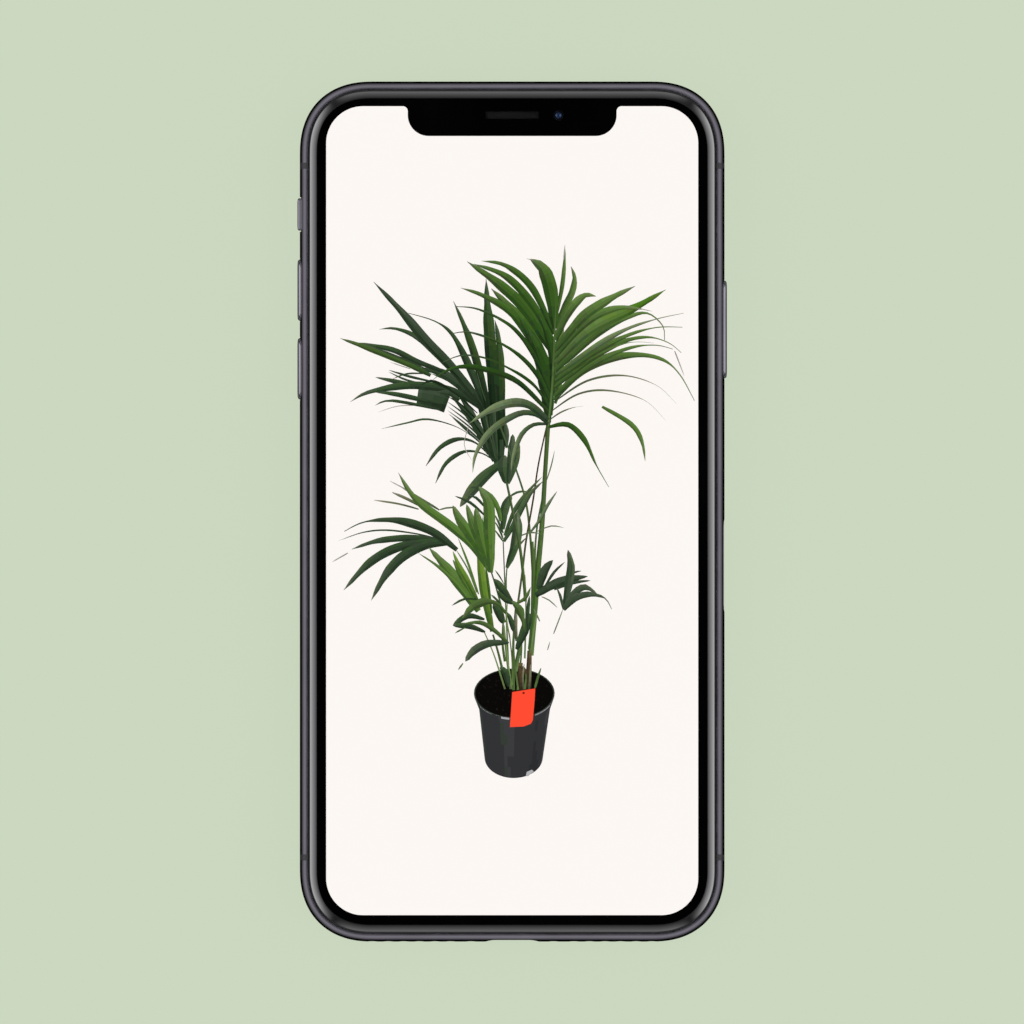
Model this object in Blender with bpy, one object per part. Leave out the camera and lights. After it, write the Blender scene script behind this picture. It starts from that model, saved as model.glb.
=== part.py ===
"""A smartphone with a notched edge-to-edge display, a steel band and glass on both faces.

Units are metres. The phone lies on its back with the display up: +X is the right side seen from
the front, +Y runs to the phone's top and +Z out of the display. The origin is under the middle of
the phone, level with the face of the rear camera, which stands out of the back glass.
Heights named in the sections below are measured from the phone's middle plane unless they say so.
"""

import math

import bmesh
import bpy
from mathutils import Vector

MM = 0.001

# The whole phone
BODY_WIDTH = 70.9 * MM
BODY_LENGTH = 143.6 * MM
BODY_THICKNESS = 7.7 * MM
CAMERA_BUMP = 1.1 * MM
BUTTON_PROUD = 0.4 * MM
HALF_WIDTH = BODY_WIDTH / 2
HALF_LENGTH = BODY_LENGTH / 2
HALF_THICKNESS = BODY_THICKNESS / 2
MIDDLE_Z = CAMERA_BUMP + HALF_THICKNESS

# Outline: each corner is a quarter of a superellipse, so its curve starts gently
CORNER_REACH = 12.2 * MM
CORNER_POWER = 2.3
CORNER_STEPS = 12

# Rounded edge seen from the side: a quarter ellipse this deep over half the thickness
EDGE_DEPTH = 2.9 * MM
EDGE_STEPS = 8

# Clearances
SEAT_GAP = 0.3 * MM
RUNNING_GAP = 0.12 * MM

# Band
BAND_LIP_START = 1.2 * MM
BAND_LIP_END = 1.4 * MM
BAND_WALL = 3.0 * MM
BREAK_FROM_END = 14.1 * MM
BREAK_WIDTH = 1.0 * MM
BREAK_GAP = 0.1 * MM

# Glass on both faces
GLASS_INSET = 1.68 * MM
GLASS_THICKNESS = 0.8 * MM
GLASS_FOOT_CHAMFER = 0.1 * MM
GLASS_BOTTOM = HALF_THICKNESS - GLASS_THICKNESS
LEDGE = GLASS_BOTTOM - SEAT_GAP

# Display behind the front glass
SCREEN_WIDTH = 62.13 * MM
SCREEN_LENGTH = 135.0 * MM
SCREEN_LIFT = 0.15 * MM
SCREEN_CORNER = 6.2 * MM
NOTCH_WIDTH = 34.76 * MM
NOTCH_DEPTH = 4.97 * MM
NOTCH_CORNER = 3.45 * MM
NOTCH_FILLET = 0.85 * MM
DISPLAY_THICKNESS = 0.8 * MM
DISPLAY_TOP = LEDGE
DISPLAY_BOTTOM = DISPLAY_TOP - DISPLAY_THICKNESS
DISPLAY_SPLIT = 0.15 * MM

# Ear speaker and front camera in the notch
SENSOR_Y = 66.1 * MM
EAR_SLOT_LENGTH = 8.8 * MM
EAR_SLOT_HEIGHT = 1.25 * MM
EAR_SLOT_CORNER = 0.35 * MM
EAR_MESH_DROP = 0.25 * MM
FRONT_CAMERA_X = 7.7 * MM
FRONT_LENS_RADIUS = 0.9 * MM
FRONT_WELL_RADIUS = 1.02 * MM
FRONT_WELL_DEPTH = 0.5 * MM
FRONT_BARREL_RADIUS = 1.6 * MM

# Mid plate and what stands on it
PLATE_TOP = -1.75 * MM
PLATE_THICKNESS = 0.5 * MM
PLATE_BOTTOM = PLATE_TOP - PLATE_THICKNESS
PLATE_INSET = BAND_WALL + SEAT_GAP
FLOOR = PLATE_TOP + SEAT_GAP
CEILING = DISPLAY_BOTTOM - SEAT_GAP

# Side keys: a capsule face in a slot, a wide foot behind the wall and a dome switch
KEY_HEIGHT = 2.6 * MM
KEY_TRAVEL = 0.3 * MM
KEY_BEVEL = 0.16 * MM
KEY_FOOT_OVERLAP = 0.9 * MM
KEY_FOOT_HEIGHT = 2.9 * MM
KEY_FOOT_THICKNESS = 0.5 * MM
VOLUME_LENGTH = 10.3 * MM
VOLUME_UP_Y = 36.97 * MM
VOLUME_DOWN_Y = 23.84 * MM
SIDE_KEY_LENGTH = 16.4 * MM
SIDE_KEY_Y = 30.4 * MM
DOME_RADIUS = 1.1 * MM
DOME_HEIGHT = 0.4 * MM
DOME_CLEARANCE = 0.1 * MM
BRACKET_THICKNESS = 0.4 * MM
BRACKET_MARGIN = 1.6 * MM

# Ring switch: a lever that slides between the display side and the back
SWITCH_Y = 49.6 * MM
SWITCH_LENGTH = 5.4 * MM
SWITCH_HEIGHT = 1.9 * MM
SWITCH_TRAVEL = 1.1 * MM
SWITCH_RECESS_DEPTH = 1.3 * MM
SWITCH_STEM_LENGTH = 2.0 * MM
SWITCH_STEM_HEIGHT = 0.8 * MM
SWITCH_FOOT_LENGTH = 3.4 * MM
SWITCH_FOOT_HEIGHT = 1.7 * MM
SWITCH_FOOT_THICKNESS = 0.45 * MM
STRIPE_THICKNESS = 0.2 * MM

# Card tray on the right side
TRAY_Y = -9.0 * MM
TRAY_FACE_LENGTH = 15.2 * MM
TRAY_FACE_HEIGHT = 2.3 * MM
TRAY_FACE_DEPTH = 1.4 * MM
TRAY_FACE_INSET = 0.1 * MM
TRAY_LENGTH = 12.7 * MM
TRAY_REACH = 15.5 * MM
TRAY_HEIGHT = 1.0 * MM
CARD_WIDTH = 8.8 * MM
CARD_LENGTH = 12.3 * MM
CARD_THICKNESS = 0.67 * MM
TRAY_RIM = 1.0 * MM
PIN_HOLE_RADIUS = 0.4 * MM
PIN_HOLE_SHIFT = 6.2 * MM
READER_WALL = 0.3 * MM

# Bottom edge: connector socket, two screws and two rows of round holes
SOCKET_MOUTH = (8.5 * MM, 2.9 * MM)
SOCKET_WALL = 0.3 * MM
SOCKET_DEPTH = 9.0 * MM
SOCKET_INSET = 0.35 * MM
CONTACT_COUNT = 8
CONTACT_PITCH = 0.8 * MM
CONTACT_WIDTH = 0.45 * MM
CONTACT_BASE = 0.2 * MM
CONTACT_RAISED = 0.15 * MM
SCREW_X = 6.9 * MM
SCREW_HEAD_RADIUS = 0.75 * MM
SCREW_SHANK_RADIUS = 0.45 * MM
SCREW_HEAD_DEPTH = 1.0 * MM
SCREW_LENGTH = 3.6 * MM
SCREW_INSET = 0.2 * MM
SCREW_DRIVE_RADIUS = 0.4 * MM
SCREW_DRIVE_DEPTH = 0.45 * MM
HOLE_COUNT = 6
HOLE_PITCH = 2.6 * MM
HOLE_FIRST_X = 10.3 * MM
HOLE_RADIUS = 0.75 * MM
GRILLE_HEIGHT = 2.4 * MM
GRILLE_THICKNESS = 0.3 * MM

# Rear camera: a steel ring round black glass with two lenses and a flash
CAMERA_X = HALF_WIDTH - 11.5 * MM
CAMERA_Y = HALF_LENGTH - 17.6 * MM
RING_WIDTH = 11.0 * MM
RING_LENGTH = 23.0 * MM
RING_WALL = 0.8 * MM
RING_TOP = -2.6 * MM
RING_CHAMFER = 0.25 * MM
RING_GAP = 0.15 * MM
WINDOW_DROP = 0.15 * MM
WINDOW_THICKNESS = 0.6 * MM
LENS_SHIFT = 5.6 * MM
LENS_BARREL_RADIUS = 3.0 * MM
LENS_GLASS_RADIUS = 2.1 * MM
LENS_WELL_DEPTH = 0.55 * MM
LENS_GLASS_THICKNESS = 0.3 * MM
MODULE_SIDE = 8.4 * MM
MODULE_FOOT = PLATE_BOTTOM - 0.1 * MM
FLASH_RADIUS = 1.25 * MM
FLASH_HEIGHT = 1.2 * MM
REAR_MIC_RADIUS = 0.35 * MM
REAR_MIC_SHIFT = (2.6 * MM, 1.9 * MM)

# Round solids
FINE_SIDES = 32
SMALL_SIDES = 16

# Colours: red, green, blue, metallic, roughness, alpha
FINISHES = {
    "steel_violet": (0.085, 0.08, 0.095, 1.0, 0.28, 1.0),
    "steel_bright": (0.6, 0.6, 0.62, 1.0, 0.25, 1.0),
    "antenna_plastic": (0.03, 0.03, 0.035, 0.0, 0.5, 1.0),
    "clear_glass": (0.9, 0.92, 0.95, 0.0, 0.05, 0.25),
    "black_glass": (0.012, 0.012, 0.015, 0.0, 0.08, 1.0),
    "screen_white": (0.97, 0.93, 0.9, 0.0, 0.3, 1.0),
    "black_plastic": (0.015, 0.015, 0.015, 0.0, 0.6, 1.0),
    "speaker_mesh": (0.01, 0.01, 0.01, 0.6, 0.55, 1.0),
    "lens_navy": (0.005, 0.01, 0.05, 0.0, 0.03, 1.0),
    "plate_metal": (0.45, 0.46, 0.48, 1.0, 0.4, 1.0),
    "board_green": (0.02, 0.09, 0.06, 0.0, 0.5, 1.0),
    "battery_wrap": (0.03, 0.03, 0.032, 0.0, 0.55, 1.0),
    "coil_copper": (0.75, 0.35, 0.18, 1.0, 0.35, 1.0),
    "contact_gold": (0.85, 0.62, 0.25, 1.0, 0.25, 1.0),
    "switch_orange": (0.85, 0.2, 0.02, 0.0, 0.45, 1.0),
    "card_white": (0.85, 0.85, 0.83, 0.0, 0.45, 1.0),
    "flash_yellow": (0.85, 0.75, 0.4, 0.0, 0.2, 1.0),
}


def clear_scene():
    """Removes every object, so the script starts from nothing."""
    for obj in list(bpy.data.objects):
        bpy.data.objects.remove(obj, do_unlink=True)


def finish(name):
    """The Principled material of one of the finishes above."""
    found = bpy.data.materials.get(name)
    if found:
        return found
    red, green, blue, metallic, roughness, alpha = FINISHES[name]
    material = bpy.data.materials.new(name)
    material.use_nodes = True
    shader = material.node_tree.nodes["Principled BSDF"]
    shader.inputs["Base Color"].default_value = (red, green, blue, 1.0)
    shader.inputs["Metallic"].default_value = metallic
    shader.inputs["Roughness"].default_value = roughness
    shader.inputs["Alpha"].default_value = alpha
    material.diffuse_color = (red, green, blue, alpha)
    return material


def new_object(name, shape, finish_name, origin=(0.0, 0.0, 0.0)):
    """Links a mesh given in world places as an object whose own origin is at the point given."""
    bmesh.ops.recalc_face_normals(shape, faces=shape.faces)
    bmesh.ops.translate(shape, vec=-Vector(origin), verts=shape.verts)
    mesh = bpy.data.meshes.new(name)
    shape.to_mesh(mesh)
    shape.free()
    mesh.shade_smooth()
    mesh.set_sharp_from_angle(angle=math.radians(30))
    obj = bpy.data.objects.new(name, mesh)
    obj.location = origin
    obj.data.materials.append(finish(finish_name))
    bpy.context.scene.collection.objects.link(obj)
    return obj


def loft(rings, closed=False):
    """Skins rings of equal length. An open loft gets a cap at each end, a closed one meets itself."""
    shape = bmesh.new()
    rows = [[shape.verts.new(point) for point in ring] for ring in rings]
    pairs = list(zip(rows, rows[1:]))
    if closed:
        pairs.append((rows[-1], rows[0]))
    for low, high in pairs:
        for i, corner in enumerate(low):
            after = (i + 1) % len(low)
            shape.faces.new((corner, low[after], high[after], high[i]))
    if not closed:
        shape.faces.new(rows[0])
        shape.faces.new(rows[-1])
    return shape


def cut(obj, *cutters):
    """Takes the cutters away from an object and leaves them as hidden guides."""
    for cutter in cutters:
        step = obj.modifiers.new(f"cut_{cutter.name}", "BOOLEAN")
        step.operation = "DIFFERENCE"
        step.solver = "EXACT"
        step.object = cutter
        cutter.hide_render = True
        cutter.display_type = "WIRE"


def fuse(obj, *others):
    """Joins other solids on to an object and leaves them as hidden guides."""
    for other in others:
        step = obj.modifiers.new(f"fuse_{other.name}", "BOOLEAN")
        step.operation = "UNION"
        step.solver = "EXACT"
        step.object = other
        other.hide_render = True
        other.display_type = "WIRE"


def bevel(obj, width, segments=2):
    """Rounds an object's sharp edges."""
    step = obj.modifiers.new("soft_edges", "BEVEL")
    step.width = width
    step.segments = segments
    step.limit_method = "ANGLE"
    step.angle_limit = math.radians(50)


def arc(centre, radius, start, end, steps):
    """Points of an arc, the angles in degrees."""
    angles = [math.radians(start + (end - start) * i / steps) for i in range(steps + 1)]
    return [(centre[0] + radius * math.cos(a), centre[1] + radius * math.sin(a)) for a in angles]


def rounded_rectangle(width, height, radius, centre=(0.0, 0.0), steps=4):
    """Outline of a rectangle with round corners."""
    across = width / 2 - radius
    up = height / 2 - radius
    corners = ((across, up, 0), (-across, up, 90), (-across, -up, 180), (across, -up, 270))
    points = []
    for x, y, start in corners:
        points += arc((centre[0] + x, centre[1] + y), radius, start, start + 90, steps)
    return points


def capsule(length, width, centre=(0.0, 0.0), steps=8):
    """Outline of a bar with half-round ends, its length along the first axis."""
    reach = (length - width) / 2
    right = arc((centre[0] + reach, centre[1]), width / 2, -90, 90, steps)
    left = arc((centre[0] - reach, centre[1]), width / 2, 90, 270, steps)
    return right + left


def circle(radius, centre=(0.0, 0.0), sides=SMALL_SIDES):
    """Outline of a circle."""
    return arc(centre, radius, 0, 360, sides)[:-1]


def along_x(outline, x):
    """Stands an outline given in Y and Z at a place along X."""
    return [(x, u, v) for u, v in outline]


def along_y(outline, y):
    """Stands an outline given in X and Z at a place along Y."""
    return [(u, y, v) for u, v in outline]


def along_z(outline, z):
    """Lays an outline given in X and Y at a height."""
    return [(u, v, z) for u, v in outline]


def lifted(z):
    """A height above the middle plane as a height in the part's frame."""
    return MIDDLE_Z + z


def edge_inset(z):
    """How far the rounded edge lies inside the outline at a height from the middle plane."""
    return EDGE_DEPTH * (1 - math.sqrt(max(0.0, 1 - (z / HALF_THICKNESS) ** 2)))


def edge_height(inset):
    """The height on the rounded edge at an inset from the outline."""
    return HALF_THICKNESS * math.sqrt(1 - (1 - min(inset, EDGE_DEPTH) / EDGE_DEPTH) ** 2)


def corner_path(sign_x, sign_y):
    """Points and outward normals of one corner, counter-clockwise, evenly spaced by their normal."""
    path = []
    rise = 1 / (CORNER_POWER - 1)
    for i in range(CORNER_STEPS + 1):
        turn = math.radians(90 * i / CORNER_STEPS)
        if sign_x * sign_y < 0:
            turn = math.pi / 2 - turn
        cos, sin = max(math.cos(turn), 0.0), max(math.sin(turn), 0.0)
        size = (cos ** (CORNER_POWER * rise) + sin ** (CORNER_POWER * rise)) ** (1 / CORNER_POWER)
        x = HALF_WIDTH - CORNER_REACH + CORNER_REACH * cos**rise / size
        y = HALF_LENGTH - CORNER_REACH + CORNER_REACH * sin**rise / size
        path.append(((sign_x * x, sign_y * y), (sign_x * cos, sign_y * sin)))
    return path


def whole_path():
    """The phone's outline, counter-clockwise from the right side."""
    signs = ((1, 1), (-1, 1), (-1, -1), (1, -1))
    return [station for sign in signs for station in corner_path(*sign)]


def ring_at(path, inset, z):
    """The outline moved inwards by an inset, at a height from the middle plane."""
    return [(x - inset * nx, y - inset * ny, lifted(z)) for (x, y), (nx, ny) in path]


def band_profile():
    """Cross-section of the band as pairs of inset and height: rounded outside, a ledge for each glass."""
    land = edge_height(BAND_LIP_START)
    outer = []
    for i in range(EDGE_STEPS + 1):
        turn = math.asin(land / HALF_THICKNESS) * (2 * i / EDGE_STEPS - 1)
        z = HALF_THICKNESS * math.sin(turn)
        outer.append((edge_inset(z), z))
    inner = [(BAND_LIP_END, land), (BAND_LIP_END, LEDGE), (BAND_WALL, LEDGE)]
    mirrored = [(inset, -z) for inset, z in reversed(inner)]
    return outer + inner + mirrored


def band_piece(name, stations, finish_name):
    """A length of the band: its cross-section carried along part of the outline."""
    profile = band_profile()
    rings = [
        [(x - inset * nx, y - inset * ny, lifted(z)) for inset, z in profile]
        for (x, y), (nx, ny) in stations
    ]
    return new_object(name, loft(rings), finish_name)


def side_stations(side, low, high):
    """Two stations on a straight side, counter-clockwise."""
    ends = (low, high) if side > 0 else (high, low)
    return [((side * HALF_WIDTH, y), (side, 0.0)) for y in ends]


def make_band():
    """The steel band in four lengths, parted by four antenna breaks."""
    middle = HALF_LENGTH - BREAK_FROM_END
    outside = middle + BREAK_WIDTH / 2
    inside = middle - BREAK_WIDTH / 2
    top = [((HALF_WIDTH, outside), (1.0, 0.0)), *corner_path(1, 1), *corner_path(-1, 1)]
    top.append(((-HALF_WIDTH, outside), (-1.0, 0.0)))
    bottom = [((-HALF_WIDTH, -outside), (-1.0, 0.0)), *corner_path(-1, -1), *corner_path(1, -1)]
    bottom.append(((HALF_WIDTH, -outside), (1.0, 0.0)))
    pieces = {
        "band_top": band_piece("band_top", top, "steel_violet"),
        "band_bottom": band_piece("band_bottom", bottom, "steel_violet"),
        "band_left": band_piece("band_left", side_stations(-1, -inside, inside), "steel_violet"),
        "band_right": band_piece("band_right", side_stations(1, -inside, inside), "steel_violet"),
    }
    for side, side_name in ((-1, "left"), (1, "right")):
        for end, end_name in ((-1, "bottom"), (1, "top")):
            low, high = sorted((end * (inside + BREAK_GAP), end * (outside - BREAK_GAP)))
            name = f"antenna_break_{end_name}_{side_name}"
            band_piece(name, side_stations(side, low, high), "antenna_plastic")
    return pieces


def glass_rings(path, side):
    """Rings of a face glass from its foot, over its rounded edge, to its flat face."""
    steps = [
        (GLASS_INSET + GLASS_FOOT_CHAMFER, GLASS_BOTTOM),
        (GLASS_INSET, GLASS_BOTTOM + GLASS_FOOT_CHAMFER),
    ]
    for i in range(EDGE_STEPS):
        share = (i / (EDGE_STEPS - 1)) ** 1.5
        inset = GLASS_INSET + (EDGE_DEPTH - GLASS_INSET) * share
        steps.append((inset, edge_height(inset)))
    return [ring_at(path, inset, side * z) for inset, z in steps]


def make_cover_glass():
    """Front glass with the ear speaker's slot through it."""
    glass = new_object("cover_glass", loft(glass_rings(whole_path(), 1)), "clear_glass")
    outline = rounded_rectangle(
        EAR_SLOT_LENGTH, EAR_SLOT_HEIGHT, EAR_SLOT_CORNER, (0.0, SENSOR_Y)
    )
    low, high = lifted(GLASS_BOTTOM - MM), lifted(HALF_THICKNESS + MM)
    slot = loft([along_z(outline, low), along_z(outline, high)])
    cut(glass, new_object("ear_slot_cutter", slot, "black_plastic"))


def camera_outline(width, length):
    """A bar with half-round ends standing upright round the rear camera."""
    return [(CAMERA_X - v, CAMERA_Y + u) for u, v in capsule(length, width)]


def make_back_glass():
    """Back glass with the hole that the rear camera stands in."""
    glass = new_object("back_glass", loft(glass_rings(whole_path(), -1)), "black_glass")
    outline = camera_outline(RING_WIDTH + 2 * RING_GAP, RING_LENGTH + 2 * RING_GAP)
    low, high = lifted(-HALF_THICKNESS - MM), lifted(-GLASS_BOTTOM + MM)
    hole = loft([along_z(outline, low), along_z(outline, high)])
    cut(glass, new_object("rear_camera_cutter", hole, "black_plastic"))


def screen_outline(grow=0.0):
    """Outline of the lit screen with its notch, counter-clockwise, moved outwards by an amount."""
    half = SCREEN_WIDTH / 2 + grow
    top = SCREEN_LIFT + SCREEN_LENGTH / 2 + grow
    bottom = SCREEN_LIFT - SCREEN_LENGTH / 2 - grow
    radius = SCREEN_CORNER + grow
    notch = NOTCH_WIDTH / 2 - grow
    floor = top - NOTCH_DEPTH
    bend = NOTCH_CORNER - grow
    ear = NOTCH_FILLET + grow
    points = arc((half - radius, top - radius), radius, 0, 90, 8)
    points += arc((notch + ear, top - ear), ear, 90, 180, 4)
    points += arc((notch - bend, floor + bend), bend, 0, -90, 8)
    points += arc((-notch + bend, floor + bend), bend, -90, -180, 8)
    points += arc((-notch - ear, top - ear), ear, 0, 90, 4)
    points += arc((-half + radius, top - radius), radius, 90, 180, 8)
    points += arc((-half + radius, bottom + radius), radius, 180, 270, 8)
    points += arc((half - radius, bottom + radius), radius, 270, 360, 8)
    return points


def make_display():
    """The lit panel and the black surround that fills the notch and the margins."""
    low, high = lifted(DISPLAY_BOTTOM), lifted(DISPLAY_TOP)
    panel = loft([along_z(screen_outline(), low), along_z(screen_outline(), high)])
    new_object("display_panel", panel, "screen_white")
    path = whole_path()
    rings = [ring_at(path, PLATE_INSET, z) for z in (DISPLAY_BOTTOM, DISPLAY_TOP)]
    surround = new_object("display_surround", loft(rings), "black_plastic")
    hole = screen_outline(DISPLAY_SPLIT)
    opening = loft([along_z(hole, low - MM), along_z(hole, high + MM)])
    well = circle(FRONT_BARREL_RADIUS + RUNNING_GAP, (FRONT_CAMERA_X, SENSOR_Y), FINE_SIDES)
    passage = loft([along_z(well, low - MM), along_z(well, high + MM)])
    cut(
        surround,
        new_object("screen_cutter", opening, "black_plastic"),
        new_object("front_camera_cutter", passage, "black_plastic"),
    )


def make_ear_speaker():
    """Mesh strip in the slot of the cover glass and the speaker under the display."""
    outline = rounded_rectangle(
        EAR_SLOT_LENGTH - 2 * RUNNING_GAP,
        EAR_SLOT_HEIGHT - 2 * RUNNING_GAP,
        EAR_SLOT_CORNER - RUNNING_GAP,
        (0.0, SENSOR_Y),
    )
    low = lifted(DISPLAY_TOP + RUNNING_GAP)
    high = lifted(HALF_THICKNESS - EAR_MESH_DROP)
    strip = loft([along_z(outline, low), along_z(outline, high)])
    new_object("ear_speaker_mesh", strip, "speaker_mesh")
    box = rounded_rectangle(15 * MM, 5.2 * MM, 0.8 * MM, (-2.2 * MM, 65.2 * MM))
    module = loft([along_z(box, lifted(FLOOR)), along_z(box, lifted(CEILING))])
    new_object("ear_speaker", module, "black_plastic")


def make_front_camera():
    """Barrel of the front camera with a well for its small lens."""
    centre = (FRONT_CAMERA_X, SENSOR_Y)
    steps = (
        (FRONT_BARREL_RADIUS, FLOOR),
        (FRONT_BARREL_RADIUS, DISPLAY_TOP),
        (FRONT_WELL_RADIUS, DISPLAY_TOP),
        (FRONT_WELL_RADIUS, DISPLAY_TOP - FRONT_WELL_DEPTH),
    )
    rings = [along_z(circle(r, centre, FINE_SIDES), lifted(z)) for r, z in steps]
    new_object("front_camera_barrel", loft(rings), "black_plastic")
    foot = DISPLAY_TOP - FRONT_WELL_DEPTH + RUNNING_GAP
    steps = (
        (FRONT_LENS_RADIUS, foot),
        (FRONT_LENS_RADIUS, DISPLAY_TOP - 0.1 * MM),
        (FRONT_LENS_RADIUS * 0.7, DISPLAY_TOP - 0.03 * MM),
        (FRONT_LENS_RADIUS * 0.3, DISPLAY_TOP),
    )
    rings = [along_z(circle(r, centre, FINE_SIDES), lifted(z)) for r, z in steps]
    new_object("front_camera_lens", loft(rings), "lens_navy")


def make_mid_plate():
    """The metal plate inside the band, with a window for the rear camera."""
    path = whole_path()
    rings = [ring_at(path, PLATE_INSET, z) for z in (PLATE_BOTTOM, PLATE_TOP)]
    plate = new_object("mid_plate", loft(rings), "plate_metal")
    width = MODULE_SIDE + 2 * SEAT_GAP
    length = 2 * LENS_SHIFT + MODULE_SIDE + 2 * SEAT_GAP
    outline = rounded_rectangle(width, length, 0.4 * MM, (CAMERA_X, CAMERA_Y))
    low, high = lifted(PLATE_BOTTOM - MM), lifted(PLATE_TOP + MM)
    window = loft([along_z(outline, low), along_z(outline, high)])
    cut(plate, new_object("camera_window_cutter", window, "black_plastic"))


def slot_cutter(name, outline, side, deep=BAND_WALL + MM):
    """A cutter through the wall on one side of the band, for an outline in Y and Z."""
    xs = (side * (HALF_WIDTH + MM), side * (HALF_WIDTH - deep))
    return new_object(name, loft([along_x(outline, x) for x in xs]), "black_plastic")


def make_key(name, side, centre_y, length):
    """A side key: its face stands proud of the band, and its foot keeps it in."""
    outside = HALF_WIDTH + BUTTON_PROUD
    behind_wall = HALF_WIDTH - BAND_WALL - RUNNING_GAP
    inside = behind_wall - KEY_FOOT_THICKNESS
    face = capsule(length, KEY_HEIGHT, (centre_y, MIDDLE_Z))
    stem = loft([along_x(face, side * outside), along_x(face, side * (inside + RUNNING_GAP))])
    key = new_object(name, stem, "steel_violet", (side * outside, centre_y, MIDDLE_Z))
    bevel(key, KEY_BEVEL)
    foot_outline = rounded_rectangle(
        length + 2 * KEY_FOOT_OVERLAP, KEY_FOOT_HEIGHT, 0.6 * MM, (centre_y, MIDDLE_Z)
    )
    foot = loft([along_x(foot_outline, side * x) for x in (behind_wall, inside)])
    fuse(key, new_object(f"{name}_foot", foot, "steel_violet"))
    return key


def key_slot(name, side, centre_y, length):
    """The cutter that lets a side key through the band."""
    outline = capsule(
        length + 2 * RUNNING_GAP, KEY_HEIGHT + 2 * RUNNING_GAP, (centre_y, MIDDLE_Z)
    )
    return slot_cutter(f"{name}_slot", outline, side)


def make_dome(name, side, centre_y, face_x):
    """A dome switch on a bracket, its tip a little clear of a fully pressed key."""
    centre = (centre_y, MIDDLE_Z)
    steps = ((1.0, -BRACKET_THICKNESS / 2), (1.0, DOME_HEIGHT / 2), (0.6, DOME_HEIGHT))
    rings = [
        along_x(circle(DOME_RADIUS * share, centre), side * (face_x + reach))
        for share, reach in steps
    ]
    return new_object(name, loft(rings), "plate_metal")


def make_bracket(name, side, keys, low_y, high_y):
    """The metal strip behind one side's keys, standing on the mid plate, with its dome switches."""
    foot_x = HALF_WIDTH - BAND_WALL - RUNNING_GAP - KEY_FOOT_THICKNESS
    face_x = foot_x - KEY_TRAVEL - DOME_CLEARANCE - DOME_HEIGHT
    middle = (low_y + high_y) / 2
    half = (KEY_FOOT_HEIGHT - 0.2 * MM) / 2
    base = MIDDLE_Z + (FLOOR + half) / 2
    height = half - FLOOR
    outline = rounded_rectangle(high_y - low_y, height, 0.4 * MM, (middle, base))
    xs = (side * face_x, side * (face_x - BRACKET_THICKNESS))
    strip = new_object(name, loft([along_x(outline, x) for x in xs]), "plate_metal")
    domes = [make_dome(f"{name}_{key}", side, y, face_x) for key, y in keys.items()]
    fuse(strip, *domes)


def make_keys(band):
    """Volume keys on the left, the side key on the right, and what they press on."""
    volume = {"volume_up_key": VOLUME_UP_Y, "volume_down_key": VOLUME_DOWN_Y}
    for name, centre_y in volume.items():
        make_key(name, -1, centre_y, VOLUME_LENGTH)
        cut(band["band_left"], key_slot(name, -1, centre_y, VOLUME_LENGTH))
    make_key("side_key", 1, SIDE_KEY_Y, SIDE_KEY_LENGTH)
    cut(band["band_right"], key_slot("side_key", 1, SIDE_KEY_Y, SIDE_KEY_LENGTH))
    reach = VOLUME_LENGTH / 2 + BRACKET_MARGIN
    make_bracket(
        "left_bracket",
        -1,
        volume,
        VOLUME_DOWN_Y - reach,
        SWITCH_Y + SWITCH_LENGTH / 2 + BRACKET_MARGIN,
    )
    reach = SIDE_KEY_LENGTH / 2 + BRACKET_MARGIN
    keys = {"side_key": SIDE_KEY_Y}
    make_bracket("right_bracket", 1, keys, SIDE_KEY_Y - reach, SIDE_KEY_Y + reach)


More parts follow.
